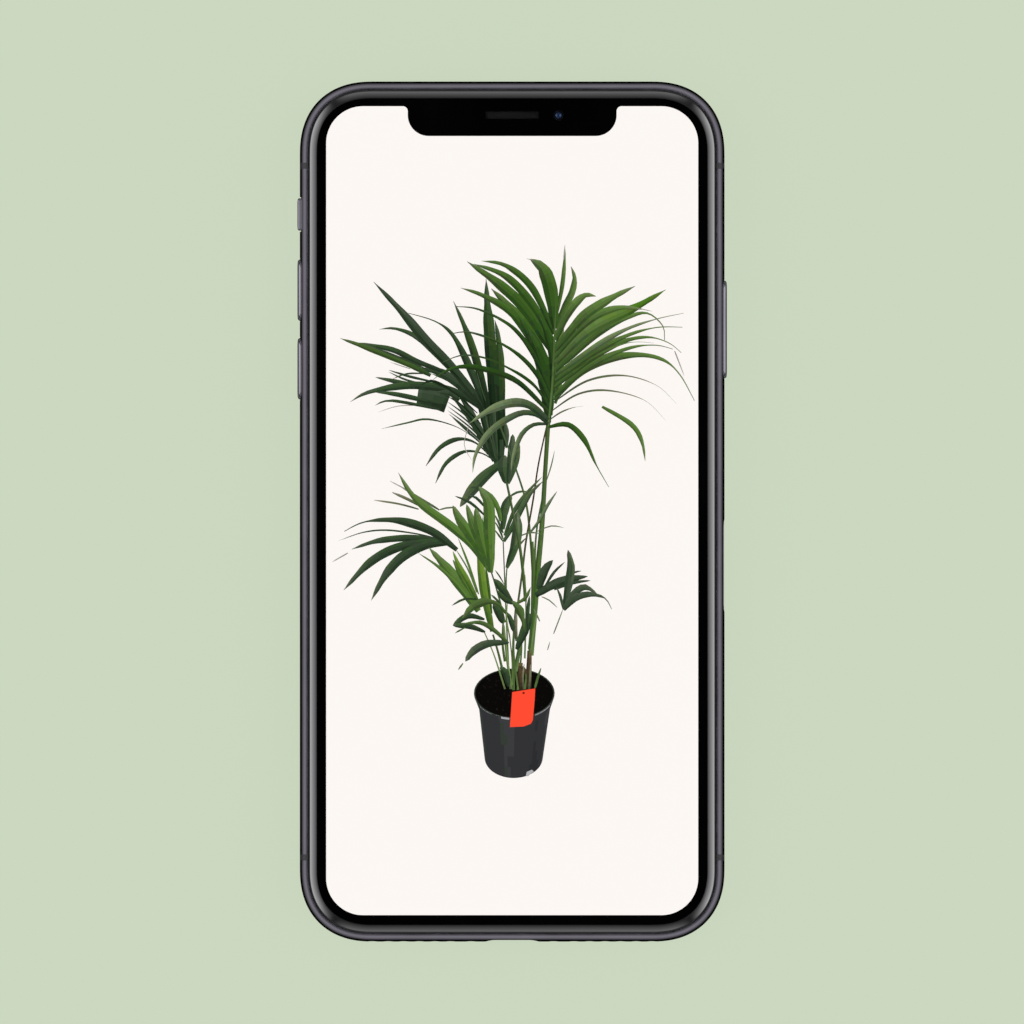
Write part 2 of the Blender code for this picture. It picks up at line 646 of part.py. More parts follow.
def make_ring_switch(band):
    """The sliding lever in its recess, with the orange strip that it uncovers."""
    rest_z = MIDDLE_Z + SWITCH_TRAVEL / 2
    recess_length = SWITCH_LENGTH + 2 * RUNNING_GAP
    recess_height = SWITCH_HEIGHT + SWITCH_TRAVEL + 2 * RUNNING_GAP
    floor_x = HALF_WIDTH - SWITCH_RECESS_DEPTH
    recess = rounded_rectangle(recess_length, recess_height, 0.5 * MM, (SWITCH_Y, MIDDLE_Z))
    passage = rounded_rectangle(
        SWITCH_STEM_LENGTH + 2 * RUNNING_GAP,
        SWITCH_STEM_HEIGHT + SWITCH_TRAVEL + 2 * RUNNING_GAP,
        0.2 * MM,
        (SWITCH_Y, MIDDLE_Z),
    )
    rings = [
        along_x(recess, -HALF_WIDTH - MM),
        along_x(recess, -floor_x),
        along_x(passage, -floor_x),
        along_x(passage, -(HALF_WIDTH - BAND_WALL - MM)),
    ]
    cut(band["band_left"], new_object("ring_switch_recess", loft(rings), "black_plastic"))

    outside = HALF_WIDTH + BUTTON_PROUD
    back = floor_x + STRIPE_THICKNESS + 2 * RUNNING_GAP
    lever_face = rounded_rectangle(SWITCH_LENGTH, SWITCH_HEIGHT, 0.4 * MM, (SWITCH_Y, rest_z))
    lever_body = loft([along_x(lever_face, -x) for x in (outside, back)])
    origin = (-outside, SWITCH_Y, rest_z)
    lever = new_object("ring_switch_lever", lever_body, "steel_violet", origin)
    bevel(lever, KEY_BEVEL)
    wall = HALF_WIDTH - BAND_WALL
    stem = rounded_rectangle(SWITCH_STEM_LENGTH, SWITCH_STEM_HEIGHT, 0.2 * MM, (SWITCH_Y, rest_z))
    stem_body = loft([along_x(stem, -x) for x in (back + 0.3 * MM, wall - 0.3 * MM)])
    foot = rounded_rectangle(SWITCH_FOOT_LENGTH, SWITCH_FOOT_HEIGHT, 0.3 * MM, (SWITCH_Y, rest_z))
    foot_xs = (wall - RUNNING_GAP, wall - RUNNING_GAP - SWITCH_FOOT_THICKNESS)
    foot_body = loft([along_x(foot, -x) for x in foot_xs])
    fuse(
        lever,
        new_object("ring_switch_stem", stem_body, "steel_violet"),
        new_object("ring_switch_foot", foot_body, "steel_violet"),
    )

    stripe_top = MIDDLE_Z + recess_height / 2 - RUNNING_GAP
    stripe_low = rest_z - SWITCH_STEM_HEIGHT / 2 + 0.1 * MM
    stripe = rounded_rectangle(
        SWITCH_LENGTH - 0.3 * MM,
        stripe_top - stripe_low,
        0.15 * MM,
        (SWITCH_Y, (stripe_top + stripe_low) / 2),
    )
    xs = (-(floor_x + RUNNING_GAP), -(floor_x + RUNNING_GAP + STRIPE_THICKNESS))
    plate = new_object("ring_switch_stripe", loft([along_x(stripe, x) for x in xs]), "switch_orange")
    notch = rounded_rectangle(
        SWITCH_STEM_LENGTH + 0.4 * MM,
        SWITCH_STEM_HEIGHT + SWITCH_TRAVEL + 0.4 * MM,
        0.2 * MM,
        (SWITCH_Y, MIDDLE_Z),
    )
    cut(plate, slot_cutter("ring_switch_stripe_notch", notch, -1))


def make_card_tray(band):
    """The card tray with its card, the slot in the band and the reader shell round the tray."""
    centre = (TRAY_Y, MIDDLE_Z)
    slot_length = TRAY_FACE_LENGTH + 2 * RUNNING_GAP
    slot_height = TRAY_FACE_HEIGHT + 2 * RUNNING_GAP
    step_x = HALF_WIDTH - TRAY_FACE_INSET - TRAY_FACE_DEPTH - RUNNING_GAP
    mouth = rounded_rectangle(slot_length, slot_height, slot_height / 2 - 0.01 * MM, centre)
    passage = rounded_rectangle(
        TRAY_LENGTH + 2 * RUNNING_GAP, TRAY_HEIGHT + 2 * RUNNING_GAP, 0.2 * MM, centre
    )
    rings = [
        along_x(mouth, HALF_WIDTH + MM),
        along_x(mouth, step_x),
        along_x(passage, step_x),
        along_x(passage, HALF_WIDTH - BAND_WALL - MM),
    ]
    cut(band["band_right"], new_object("card_tray_slot", loft(rings), "black_plastic"))

    face_x = HALF_WIDTH - TRAY_FACE_INSET
    face = rounded_rectangle(
        TRAY_FACE_LENGTH, TRAY_FACE_HEIGHT, TRAY_FACE_HEIGHT / 2 - 0.01 * MM, centre
    )
    face_body = loft([along_x(face, x) for x in (face_x, face_x - TRAY_FACE_DEPTH)])
    tray = new_object("card_tray", face_body, "steel_violet", (face_x, TRAY_Y, MIDDLE_Z))
    frame = rounded_rectangle(TRAY_LENGTH, TRAY_HEIGHT, 0.15 * MM, centre)
    inner_x = face_x - TRAY_REACH
    frame_body = loft([along_x(frame, x) for x in (face_x - TRAY_FACE_DEPTH + 0.2 * MM, inner_x)])
    fuse(tray, new_object("card_tray_frame", frame_body, "steel_violet"))

    card_x = inner_x + TRAY_RIM + CARD_WIDTH / 2 + RUNNING_GAP
    card_top = MIDDLE_Z + TRAY_HEIGHT / 2 - 0.05 * MM
    card_low = card_top - CARD_THICKNESS
    span = min(CARD_LENGTH, TRAY_LENGTH - 2 * TRAY_RIM * 0.6)
    pocket = rounded_rectangle(
        CARD_WIDTH + 2 * RUNNING_GAP, span + 2 * RUNNING_GAP, 0.5 * MM, (card_x, TRAY_Y)
    )
    window = rounded_rectangle(CARD_WIDTH - MM, span - 2 * MM, 0.5 * MM, (card_x, TRAY_Y))
    rings = [
        along_z(pocket, MIDDLE_Z + MM),
        along_z(pocket, card_low - 0.05 * MM),
        along_z(window, card_low - 0.05 * MM),
        along_z(window, MIDDLE_Z - MM),
    ]
    pocket_cutter = new_object("card_pocket", loft(rings), "black_plastic")
    pin = circle(PIN_HOLE_RADIUS, (TRAY_Y - PIN_HOLE_SHIFT, MIDDLE_Z), SMALL_SIDES)
    pin_cutter = slot_cutter("eject_hole", pin, 1)
    cut(tray, pocket_cutter, pin_cutter)

    card = rounded_rectangle(CARD_WIDTH, span, 0.5 * MM, (card_x, TRAY_Y))
    card_body = loft([along_z(card, z) for z in (card_low, card_top)])
    new_object("sim_card", card_body, "card_white", (card_x, TRAY_Y, card_low))

    shell = rounded_rectangle(
        TRAY_LENGTH + 2 * RUNNING_GAP + 2 * READER_WALL,
        TRAY_HEIGHT + 2 * RUNNING_GAP + 2 * READER_WALL,
        0.3 * MM,
        centre,
    )
    hollow = rounded_rectangle(
        TRAY_LENGTH + 2 * RUNNING_GAP, TRAY_HEIGHT + 2 * RUNNING_GAP, 0.2 * MM, centre
    )
    mouth_x = HALF_WIDTH - BAND_WALL - SEAT_GAP
    end_x = inner_x - RUNNING_GAP
    rings = [
        along_x(hollow, end_x),
        along_x(hollow, mouth_x),
        along_x(shell, mouth_x),
        along_x(shell, end_x - READER_WALL),
    ]
    new_object("card_reader", loft(rings), "plate_metal")


def bottom_y(inset):
    """A place along Y, this far inside the bottom edge of the outline."""
    return -HALF_LENGTH + inset


def make_socket(band):
    """The connector socket in the middle of the bottom edge, closed at its inner end."""
    width, height = SOCKET_MOUTH
    centre = (0.0, MIDDLE_Z)
    hole = capsule(width + 2 * RUNNING_GAP, height + 2 * RUNNING_GAP, centre)
    cutter = loft([along_y(hole, bottom_y(inset)) for inset in (-MM, BAND_WALL + MM)])
    cut(band["band_bottom"], new_object("socket_cutter", cutter, "black_plastic"))
    outer = capsule(width, height, centre)
    inner = capsule(width - 2 * SOCKET_WALL, height - 2 * SOCKET_WALL, centre)
    end = SOCKET_INSET + SOCKET_DEPTH
    rings = [
        along_y(inner, bottom_y(end - 2 * SOCKET_WALL)),
        along_y(inner, bottom_y(SOCKET_INSET)),
        along_y(outer, bottom_y(SOCKET_INSET)),
        along_y(outer, bottom_y(end)),
    ]
    new_object("socket_shell", loft(rings), "steel_bright")

    base = MIDDLE_Z - height / 2 + SOCKET_WALL + RUNNING_GAP
    half = (CONTACT_COUNT - 1) / 2 * CONTACT_PITCH
    edge = half + CONTACT_PITCH / 2
    comb = [(edge, base), (edge, base + CONTACT_BASE)]
    for i in range(CONTACT_COUNT):
        x = half - i * CONTACT_PITCH
        right, left = x + CONTACT_WIDTH / 2, x - CONTACT_WIDTH / 2
        top = base + CONTACT_BASE + CONTACT_RAISED
        comb += [(right, base + CONTACT_BASE), (right, top), (left, top)]
        comb.append((left, base + CONTACT_BASE))
    comb += [(-edge, base + CONTACT_BASE), (-edge, base)]
    ends = (SOCKET_INSET + 1.4 * MM, end - 2 * SOCKET_WALL - RUNNING_GAP)
    new_object(
        "socket_contacts", loft([along_y(comb, bottom_y(i)) for i in ends]), "contact_gold"
    )


def make_screw(name, centre_x):
    """A small screw beside the socket, with a hexagonal recess in its head."""
    centre = (centre_x, MIDDLE_Z)
    head_end = SCREW_INSET + SCREW_HEAD_DEPTH
    steps = (
        (SCREW_HEAD_RADIUS, SCREW_INSET),
        (SCREW_HEAD_RADIUS, head_end),
        (SCREW_SHANK_RADIUS, head_end),
        (SCREW_SHANK_RADIUS, SCREW_INSET + SCREW_LENGTH),
    )
    rings = [along_y(circle(r, centre), bottom_y(inset)) for r, inset in steps]
    screw = new_object(name, loft(rings), "steel_violet")
    drive = circle(SCREW_DRIVE_RADIUS, centre, 6)
    ends = (-MM, SCREW_INSET + SCREW_DRIVE_DEPTH)
    recess = loft([along_y(drive, bottom_y(inset)) for inset in ends])
    cut(screw, new_object(f"{name}_drive", recess, "black_plastic"))


def screw_cutter(name, centre_x):
    """The stepped hole that a bottom screw sits in."""
    centre = (centre_x, MIDDLE_Z)
    head_end = SCREW_INSET + SCREW_HEAD_DEPTH + RUNNING_GAP
    steps = (
        (SCREW_HEAD_RADIUS + RUNNING_GAP, -MM),
        (SCREW_HEAD_RADIUS + RUNNING_GAP, head_end),
        (SCREW_SHANK_RADIUS + RUNNING_GAP, head_end),
        (SCREW_SHANK_RADIUS + RUNNING_GAP, BAND_WALL + MM),
    )
    rings = [along_y(circle(r, centre), bottom_y(inset)) for r, inset in steps]
    return new_object(name, loft(rings), "black_plastic")


def make_bottom_holes(band):
    """Two rows of round holes in the bottom edge, each backed by a mesh plate."""
    for side, name in ((-1, "microphone_mesh"), (1, "speaker_mesh")):
        places = [side * (HOLE_FIRST_X + i * HOLE_PITCH) for i in range(HOLE_COUNT)]
        for i, x in enumerate(places):
            outline = circle(HOLE_RADIUS, (x, MIDDLE_Z))
            hole = loft([along_y(outline, bottom_y(inset)) for inset in (-MM, BAND_WALL + MM)])
            cutter = new_object(f"{name}_hole_{i + 1}", hole, "black_plastic")
            cut(band["band_bottom"], cutter)
        middle = (places[0] + places[-1]) / 2
        length = (HOLE_COUNT - 1) * HOLE_PITCH + 2 * HOLE_RADIUS
        plate = rounded_rectangle(length, GRILLE_HEIGHT, 0.3 * MM, (middle, MIDDLE_Z))
        low = BAND_WALL + SEAT_GAP / 2
        ends = (low, low + GRILLE_THICKNESS)
        body = loft([along_y(plate, bottom_y(inset)) for inset in ends])
        new_object(name, body, "speaker_mesh")


def make_bottom_edge(band):
    """Socket, screws and sound holes."""
    make_socket(band)
    for side, name in ((-1, "bottom_screw_left"), (1, "bottom_screw_right")):
        make_screw(name, side * SCREW_X)
        cut(band["band_bottom"], screw_cutter(f"{name}_hole", side * SCREW_X))
    make_bottom_holes(band)


def make_camera_ring():
    """The steel ring that stands out of the back glass and carries the part's weight at the top."""
    face = -HALF_THICKNESS - CAMERA_BUMP
    inner_width, inner_length = RING_WIDTH - 2 * RING_WALL, RING_LENGTH - 2 * RING_WALL
    chamfer = 2 * RING_CHAMFER
    steps = (
        (inner_width, inner_length, RING_TOP),
        (inner_width, inner_length, face),
        (RING_WIDTH - chamfer, RING_LENGTH - chamfer, face),
        (RING_WIDTH, RING_LENGTH, face + RING_CHAMFER),
        (RING_WIDTH, RING_LENGTH, RING_TOP),
    )
    rings = [along_z(camera_outline(w, h), lifted(z)) for w, h, z in steps]
    new_object("rear_camera_ring", loft(rings, closed=True), "steel_violet")


def make_camera_window():
    """Black glass inside the ring, with holes for both lenses, the flash and a microphone."""
    face = -HALF_THICKNESS - CAMERA_BUMP + WINDOW_DROP
    width = RING_WIDTH - 2 * RING_WALL - 2 * RING_GAP
    length = RING_LENGTH - 2 * RING_WALL - 2 * RING_GAP
    outline = camera_outline(width, length)
    zs = (lifted(face), lifted(face + WINDOW_THICKNESS))
    window = new_object(
        "rear_camera_window", loft([along_z(outline, z) for z in zs]), "black_glass"
    )
    holes = {
        "lens_hole_upper": (LENS_BARREL_RADIUS + RING_GAP, 0.0, LENS_SHIFT, FINE_SIDES),
        "lens_hole_lower": (LENS_BARREL_RADIUS + RING_GAP, 0.0, -LENS_SHIFT, FINE_SIDES),
        "flash_hole": (FLASH_RADIUS + RING_GAP, 0.0, 0.0, SMALL_SIDES),
        "rear_microphone_hole": (REAR_MIC_RADIUS, *REAR_MIC_SHIFT, SMALL_SIDES),
    }
    for name, (radius, x, y, sides) in holes.items():
        hole = circle(radius, (CAMERA_X + x, CAMERA_Y + y), sides)
        ends = (lifted(face - MM), lifted(face + WINDOW_THICKNESS + MM))
        cutter = new_object(name, loft([along_z(hole, z) for z in ends]), "black_plastic")
        cut(window, cutter)


def make_camera_module(name, shift_y):
    """A rear camera: a round barrel behind the window and a square housing through the mid plate."""
    centre = (CAMERA_X, CAMERA_Y + shift_y)
    face = -HALF_THICKNESS - CAMERA_BUMP + 2 * WINDOW_DROP
    well = face + LENS_WELL_DEPTH
    barrel_steps = (
        (LENS_GLASS_RADIUS + RUNNING_GAP, well),
        (LENS_GLASS_RADIUS + RUNNING_GAP, face),
        (LENS_BARREL_RADIUS, face),
        (LENS_BARREL_RADIUS, MODULE_FOOT + 0.4 * MM),
    )
    rings = [along_z(circle(r, centre, FINE_SIDES), lifted(z)) for r, z in barrel_steps]
    module = new_object(name, loft(rings), "black_plastic")
    outline = rounded_rectangle(MODULE_SIDE, MODULE_SIDE, 0.5 * MM, centre)
    housing = loft([along_z(outline, lifted(z)) for z in (MODULE_FOOT, CEILING)])
    fuse(module, new_object(f"{name}_housing", housing, "black_plastic"))
    lens_top = well - RUNNING_GAP
    lens_steps = (
        (LENS_GLASS_RADIUS, lens_top),
        (LENS_GLASS_RADIUS, lens_top - LENS_GLASS_THICKNESS * 0.5),
        (LENS_GLASS_RADIUS * 0.75, lens_top - LENS_GLASS_THICKNESS * 0.85),
        (LENS_GLASS_RADIUS * 0.35, lens_top - LENS_GLASS_THICKNESS),
    )
    rings = [along_z(circle(r, centre, FINE_SIDES), lifted(z)) for r, z in lens_steps]
    new_object(f"{name}_lens", loft(rings), "lens_navy")


def make_rear_camera():
    """Everything inside the rear camera's ring."""
    make_camera_ring()
    make_camera_window()
    make_camera_module("rear_camera_upper", LENS_SHIFT)
    make_camera_module("rear_camera_lower", -LENS_SHIFT)
    face = -HALF_THICKNESS - CAMERA_BUMP + 2 * WINDOW_DROP
    outline = circle(FLASH_RADIUS, (CAMERA_X, CAMERA_Y))
    body = loft([along_z(outline, lifted(z)) for z in (face, face + FLASH_HEIGHT)])
    new_object("rear_flash", body, "flash_yellow")


def inner_box(name, low, high, finish_name, top=CEILING, corner=1.0 * MM):
    """A block on the mid plate between two corners seen from above."""
    width, length = high[0] - low[0], high[1] - low[1]
    centre = ((low[0] + high[0]) / 2, (low[1] + high[1]) / 2)
    outline = rounded_rectangle(width, length, corner, centre)
    body = loft([along_z(outline, lifted(z)) for z in (FLOOR, top)])
    return new_object(name, body, finish_name)


def make_inside():
    """What fills the phone: battery, board, loudspeaker, vibration motor and charging coil."""
    left, right = -29.8 * MM, 29.8 * MM
    board_left = 12.0 * MM
    split_y = -18.6 * MM
    bottom_row_top = -45.2 * MM
    inner_box("battery_upper", (left, split_y), (board_left - SEAT_GAP, 60 * MM), "battery_wrap")
    inner_box(
        "battery_lower",
        (left, bottom_row_top + SEAT_GAP),
        (right, split_y - SEAT_GAP),
        "battery_wrap",
    )
    inner_box(
        "logic_board", (board_left, -0.9 * MM), (right - 0.8 * MM, 43 * MM), "board_green"
    )
    inner_box("vibration_motor", (left, -60.5 * MM), (-5.2 * MM, bottom_row_top), "plate_metal")
    inner_box("loudspeaker", (5.2 * MM, -67.7 * MM), (24.5 * MM, bottom_row_top), "black_plastic")
    centre = (0.0, -4.0 * MM)
    steps = (
        (12 * MM, -2.78 * MM),
        (24 * MM, -2.78 * MM),
        (24 * MM, -2.5 * MM),
        (12 * MM, -2.5 * MM),
    )
    rings = [along_z(circle(r, centre, FINE_SIDES), lifted(z)) for r, z in steps]
    new_object("charging_coil", loft(rings, closed=True), "coil_copper")


def main():
    """Builds the phone from the outside in."""
    clear_scene()
    band = make_band()
    make_cover_glass()
    make_back_glass()
    make_display()
    make_ear_speaker()
    make_front_camera()
    make_mid_plate()
    make_keys(band)
    make_ring_switch(band)
    make_card_tray(band)
    make_bottom_edge(band)
    make_rear_camera()
    make_inside()


main()
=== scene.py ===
"""Looks of a smartphone with a lit, notched screen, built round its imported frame.

Lengths are metres in the frame's axes: +X is the phone's right side seen from the front, +Y runs to
its top and +Z out of the screen. Heights named "rise" are measured from the phone's middle plane.
The picture on the screen is drawn in millimetres from the middle of the phone's face.
"""

import logging
import math
import random
from dataclasses import dataclass, field
from enum import Enum
from typing import Callable, ClassVar, Iterable, Sequence

import bmesh
import bpy
import mathutils.geometry
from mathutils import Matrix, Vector


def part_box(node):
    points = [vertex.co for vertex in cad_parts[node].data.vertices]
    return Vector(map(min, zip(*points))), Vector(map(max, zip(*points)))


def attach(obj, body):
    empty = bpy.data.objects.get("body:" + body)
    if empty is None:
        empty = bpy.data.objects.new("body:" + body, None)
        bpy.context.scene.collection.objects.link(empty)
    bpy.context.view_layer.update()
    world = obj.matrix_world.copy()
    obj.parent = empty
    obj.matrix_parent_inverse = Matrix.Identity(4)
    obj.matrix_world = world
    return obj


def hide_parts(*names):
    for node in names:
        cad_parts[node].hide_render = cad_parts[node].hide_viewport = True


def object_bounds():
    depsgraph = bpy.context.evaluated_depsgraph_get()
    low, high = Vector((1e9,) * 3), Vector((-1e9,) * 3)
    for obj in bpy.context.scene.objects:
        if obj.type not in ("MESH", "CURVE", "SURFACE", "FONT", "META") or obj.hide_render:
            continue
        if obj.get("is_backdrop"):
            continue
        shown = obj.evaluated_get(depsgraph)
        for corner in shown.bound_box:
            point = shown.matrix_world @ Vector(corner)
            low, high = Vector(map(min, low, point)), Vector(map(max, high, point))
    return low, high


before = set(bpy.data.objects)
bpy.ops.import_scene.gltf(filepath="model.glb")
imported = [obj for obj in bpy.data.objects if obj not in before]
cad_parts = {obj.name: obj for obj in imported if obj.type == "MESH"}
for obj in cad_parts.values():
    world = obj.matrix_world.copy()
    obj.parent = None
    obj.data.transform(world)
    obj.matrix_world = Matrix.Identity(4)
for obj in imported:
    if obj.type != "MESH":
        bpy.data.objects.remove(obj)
CAD_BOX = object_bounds()

LOG = logging.getLogger("phone")
MM = 0.001
TOUCHING = 1e-7
SLIVER = 1e-5

Point2 = tuple[float, float]
Point3 = tuple[float, float, float]
Colour = tuple[float, float, float]
Station = tuple[Point2, Point2]


def linear(level: float) -> float:
    """The linear light of a display level from 0 to 255."""
    share = level / 255
    return share / 12.92 if share <= 0.04045 else ((share + 0.055) / 1.055) ** 2.4


def shade(red: float, green: float, blue: float, gain: float = 1.0) -> Colour:
    """A colour given in display levels from 0 to 255, as linear light times a gain."""
    return (linear(red) * gain, linear(green) * gain, linear(blue) * gain)


def rgba(colour: Colour) -> tuple[float, float, float, float]:
    """A colour with full opacity, as a colour socket takes it."""
    return (*colour, 1.0)


class Signal:
    """A number inside a shader that takes part in Python sums."""

    def __init__(self, graph: "Graph", socket: bpy.types.NodeSocket) -> None:
        """Wraps one output socket of a graph."""
        self.graph = graph
        self.socket = socket

    def _math(self, operation: str, first: "Term", second: "Term") -> "Signal":
        """A Math node on two terms."""
        settings = {"operation": operation}
        return self.graph.node("ShaderNodeMath", settings, {0: first, 1: second})

    def __add__(self, other: "Term") -> "Signal":
        """This signal plus a term."""
        return self._math("ADD", self, other)

    def __radd__(self, other: "Term") -> "Signal":
        """A term plus this signal."""
        return self._math("ADD", other, self)

    def __sub__(self, other: "Term") -> "Signal":
        """This signal less a term."""
        return self._math("SUBTRACT", self, other)

    def __rsub__(self, other: "Term") -> "Signal":
        """A term less this signal."""
        return self._math("SUBTRACT", other, self)

    def __mul__(self, other: "Term") -> "Signal":
        """This signal times a term."""
        return self._math("MULTIPLY", self, other)

    def __rmul__(self, other: "Term") -> "Signal":
        """A term times this signal."""
        return self._math("MULTIPLY", other, self)

    def __pow__(self, other: "Term") -> "Signal":
        """This signal raised to a term."""
        return self._math("POWER", self, other)

    def above(self, edge: float) -> "Signal":
        """1 where this signal is above an edge, and 0 elsewhere."""
        return self._math("GREATER_THAN", self, edge)

    def between(self, low: float, high: float) -> "Signal":
        """This signal stretched from low..high to 0..1 and held inside it."""
        settings = {"clamp": True}
        return self.graph.node("ShaderNodeMapRange", settings, {0: self, 1: low, 2: high})


Term = Signal | float


class Graph:
    """The nodes of one shader."""

    def __init__(self, tree: bpy.types.NodeTree) -> None:
        """Empties a node tree and takes it over."""
        tree.nodes.clear()
        self.tree = tree

    def node(
        self,
        kind: str,
        settings: dict[str, object] | None = None,
        inputs: dict[int | str, object] | None = None,
        output: int | str = 0,
    ) -> Signal:
        """Adds a node.

        Args:
            kind: the node's type.
            settings: its own properties; "stops" holds a ramp's positions and colours.
            inputs: a value or a signal for each socket that is set, by name or number.
            output: the socket that is handed on.

        Returns:
            The chosen output as a signal.
        """
        made = self.tree.nodes.new(kind)
        for name, value in (settings or {}).items():
            if name == "stops":
                self._set_stops(made.color_ramp, value)
            else:
                setattr(made, name, value)
        for key, value in (inputs or {}).items():
            if isinstance(value, Signal):
                self.tree.links.new(value.socket, made.inputs[key])
            else:
                made.inputs[key].default_value = value
        return Signal(self, made.outputs[output] if len(made.outputs) else None)

    @staticmethod
    def _set_stops(ramp: bpy.types.ColorRamp, stops: Sequence[tuple[float, Colour]]) -> None:
        """Writes a ramp's stops in place of its own two.

        Args:
            ramp: the ramp.
            stops: a position and a colour for each stop.
        """
        while len(ramp.elements) > 1:
            ramp.elements.remove(ramp.elements[-1])
        for i, (position, colour) in enumerate(stops):
            stop = ramp.elements[0] if i == 0 else ramp.elements.new(position)
            stop.position = position
            stop.color = rgba(colour)

    def place(self) -> Signal:
        """The point on the surface in the piece's own axes, in metres."""
        return self.node("ShaderNodeTexCoord", output="Object")

    def axis(self, name: str) -> Signal:
        """One coordinate of the point on the surface, by the letter of its axis."""
        return self.node("ShaderNodeSeparateXYZ", inputs={0: self.place()}, output=name)

    def noise(self, size: float, detail: float = 2.0, stretch: Point3 = (1.0, 1.0, 1.0)) -> Signal:
        """Cloudy noise.

        Args:
            size: the width of its clouds in metres.
            detail: how many finer layers it has.
            stretch: how much longer the clouds are along each axis.

        Returns:
            A signal round 0.5.
        """
        scale = tuple(1 / (size * share) for share in stretch)
        moved = self.node("ShaderNodeMapping", inputs={"Vector": self.place(), "Scale": scale})
        inputs = {"Vector": moved, "Scale": 1.0, "Detail": detail, "Roughness": 0.55}
        return self.node("ShaderNodeTexNoise", {"noise_dimensions": "3D"}, inputs)

    def blend(self, mask: Term, low: Colour, high: Colour) -> Signal:
        """A colour that runs from one to another with a mask."""
        inputs = {0: mask, 6: rgba(low), 7: rgba(high)}
        return self.node("ShaderNodeMix", {"data_type": "RGBA"}, inputs, 2)

    def bump(self, height: Signal, strength: float, distance: float) -> Signal:
        """A relief of a height signal, its full height the distance in metres."""
        inputs = {"Height": height, "Strength": strength, "Distance": distance}
        return self.node("ShaderNodeBump", None, inputs)

    def reach(self, centre: Point2) -> Signal:
        """How far the point lies from an upright axis through a centre."""
        across, up = self.axis("X") - centre[0], self.axis("Y") - centre[1]
        return (across * across + up * up) ** 0.5

    def smears(self) -> tuple[Signal, Signal]:
        """Finger smears: wide clouds, and the finer ones that break them up."""
        wide = self.noise(16 * MM, 3.0, (1.0, 1.7, 1.0)).between(0.45, 0.8)
        return wide, self.noise(0.7 * MM, 2.0).between(0.3, 0.8) * 0.6 + 0.4

    def surface(self, **sockets: object) -> None:
        """Ends the shader in a Principled surface.

        Args:
            sockets: a value or a signal for each socket, the words of its name joined by "_".
        """
        inputs = {name.replace("_", " "): value for name, value in sockets.items()}
        made = self.node("ShaderNodeBsdfPrincipled", None, inputs)
        self.node("ShaderNodeOutputMaterial", None, {"Surface": made})


@dataclass(frozen=True)
class Finish:
    """A surface finish. Each kind of finish paints its own shader."""

    name: str
    made: ClassVar[dict[str, bpy.types.Material]] = {}

    def material(self) -> bpy.types.Material:
        """The finish as a material, made at its first use.

        Returns:
            The material.
        """
        if self.name not in self.made:
            material = bpy.data.materials.new(f"finish_{self.name}")
            material.use_nodes = True
            self.paint(Graph(material.node_tree))
            self.made[self.name] = material
        return self.made[self.name]

    def paint(self, graph: Graph) -> None:
        """Builds the shader.

        Args:
            graph: the material's empty graph.
        """
        raise NotImplementedError


@dataclass(frozen=True)
class CoatedSteel(Finish):
    """Steel under a thin coloured coating, with faint hairlines and handling marks."""

    colour: Colour = (0.25, 0.235, 0.28)
    roughness: float = 0.15
    hairline: float = 0.05 * MM
    relief: float = 0.0006 * MM

    def paint(self, graph: Graph) -> None:
        """Clouds in the tint and the polish, and fine grain in the relief."""
        clouds = graph.noise(6 * MM, 3.0)
        grain = graph.noise(self.hairline, 1.0, (1.0, 24.0, 1.0))
        darker = tuple(0.86 * part for part in self.colour)
        graph.surface(
            Base_Color=graph.blend(clouds.between(0.3, 0.7), darker, self.colour),
            Metallic=1.0,
            Roughness=self.roughness + (clouds - 0.5) * 0.08 + (grain - 0.5) * 0.06,
            Normal=graph.bump(grain, 0.35, self.relief),
        )


@dataclass(frozen=True)
class BareMetal(Finish):
    """Stamped, drawn or plated metal with rolling marks and a little tarnish."""

    colour: Colour = (0.55, 0.56, 0.58)
    roughness: float = 0.35
    rolling: Point3 = (1.0, 12.0, 1.0)

    def paint(self, graph: Graph) -> None:
        """Long rolling marks over clouds of tarnish."""
        clouds = graph.noise(3 * MM, 3.0)
        marks = graph.noise(0.12 * MM, 2.0, self.rolling)
        dull = tuple(0.72 * part for part in self.colour)
        graph.surface(
            Base_Color=graph.blend(clouds.between(0.25, 0.75), dull, self.colour),
            Metallic=1.0,
            Roughness=self.roughness + (marks - 0.5) * 0.25,
            Normal=graph.bump(marks, 0.3, 0.004 * MM),
        )


@dataclass(frozen=True)
class WoundWire(Finish):
    """Enamelled wire wound flat in rings round a centre."""

    colour: Colour = (0.75, 0.4, 0.22)
    centre: Point2 = (0.0, -4.0 * MM)
    pitch: float = 0.6 * MM

    def paint(self, graph: Graph) -> None:
        """A ring for each turn, with painted shade darkening the grooves between the turns."""
        turns = graph.reach(self.centre) * (math.tau / self.pitch)
        wave = graph.node("ShaderNodeMath", {"operation": "SINE"}, {0: turns})
        # painted shade: the colour is darkened where the wave dips into a groove between turns
        groove_shade = tuple(0.35 * part for part in self.colour)
        graph.surface(
            Base_Color=graph.blend(wave * 0.5 + 0.5, groove_shade, self.colour),
            Metallic=1.0,
            Roughness=0.32 + (graph.noise(1 * MM) - 0.5) * 0.2,
            Normal=graph.bump(wave, 0.6, 0.05 * MM),
        )


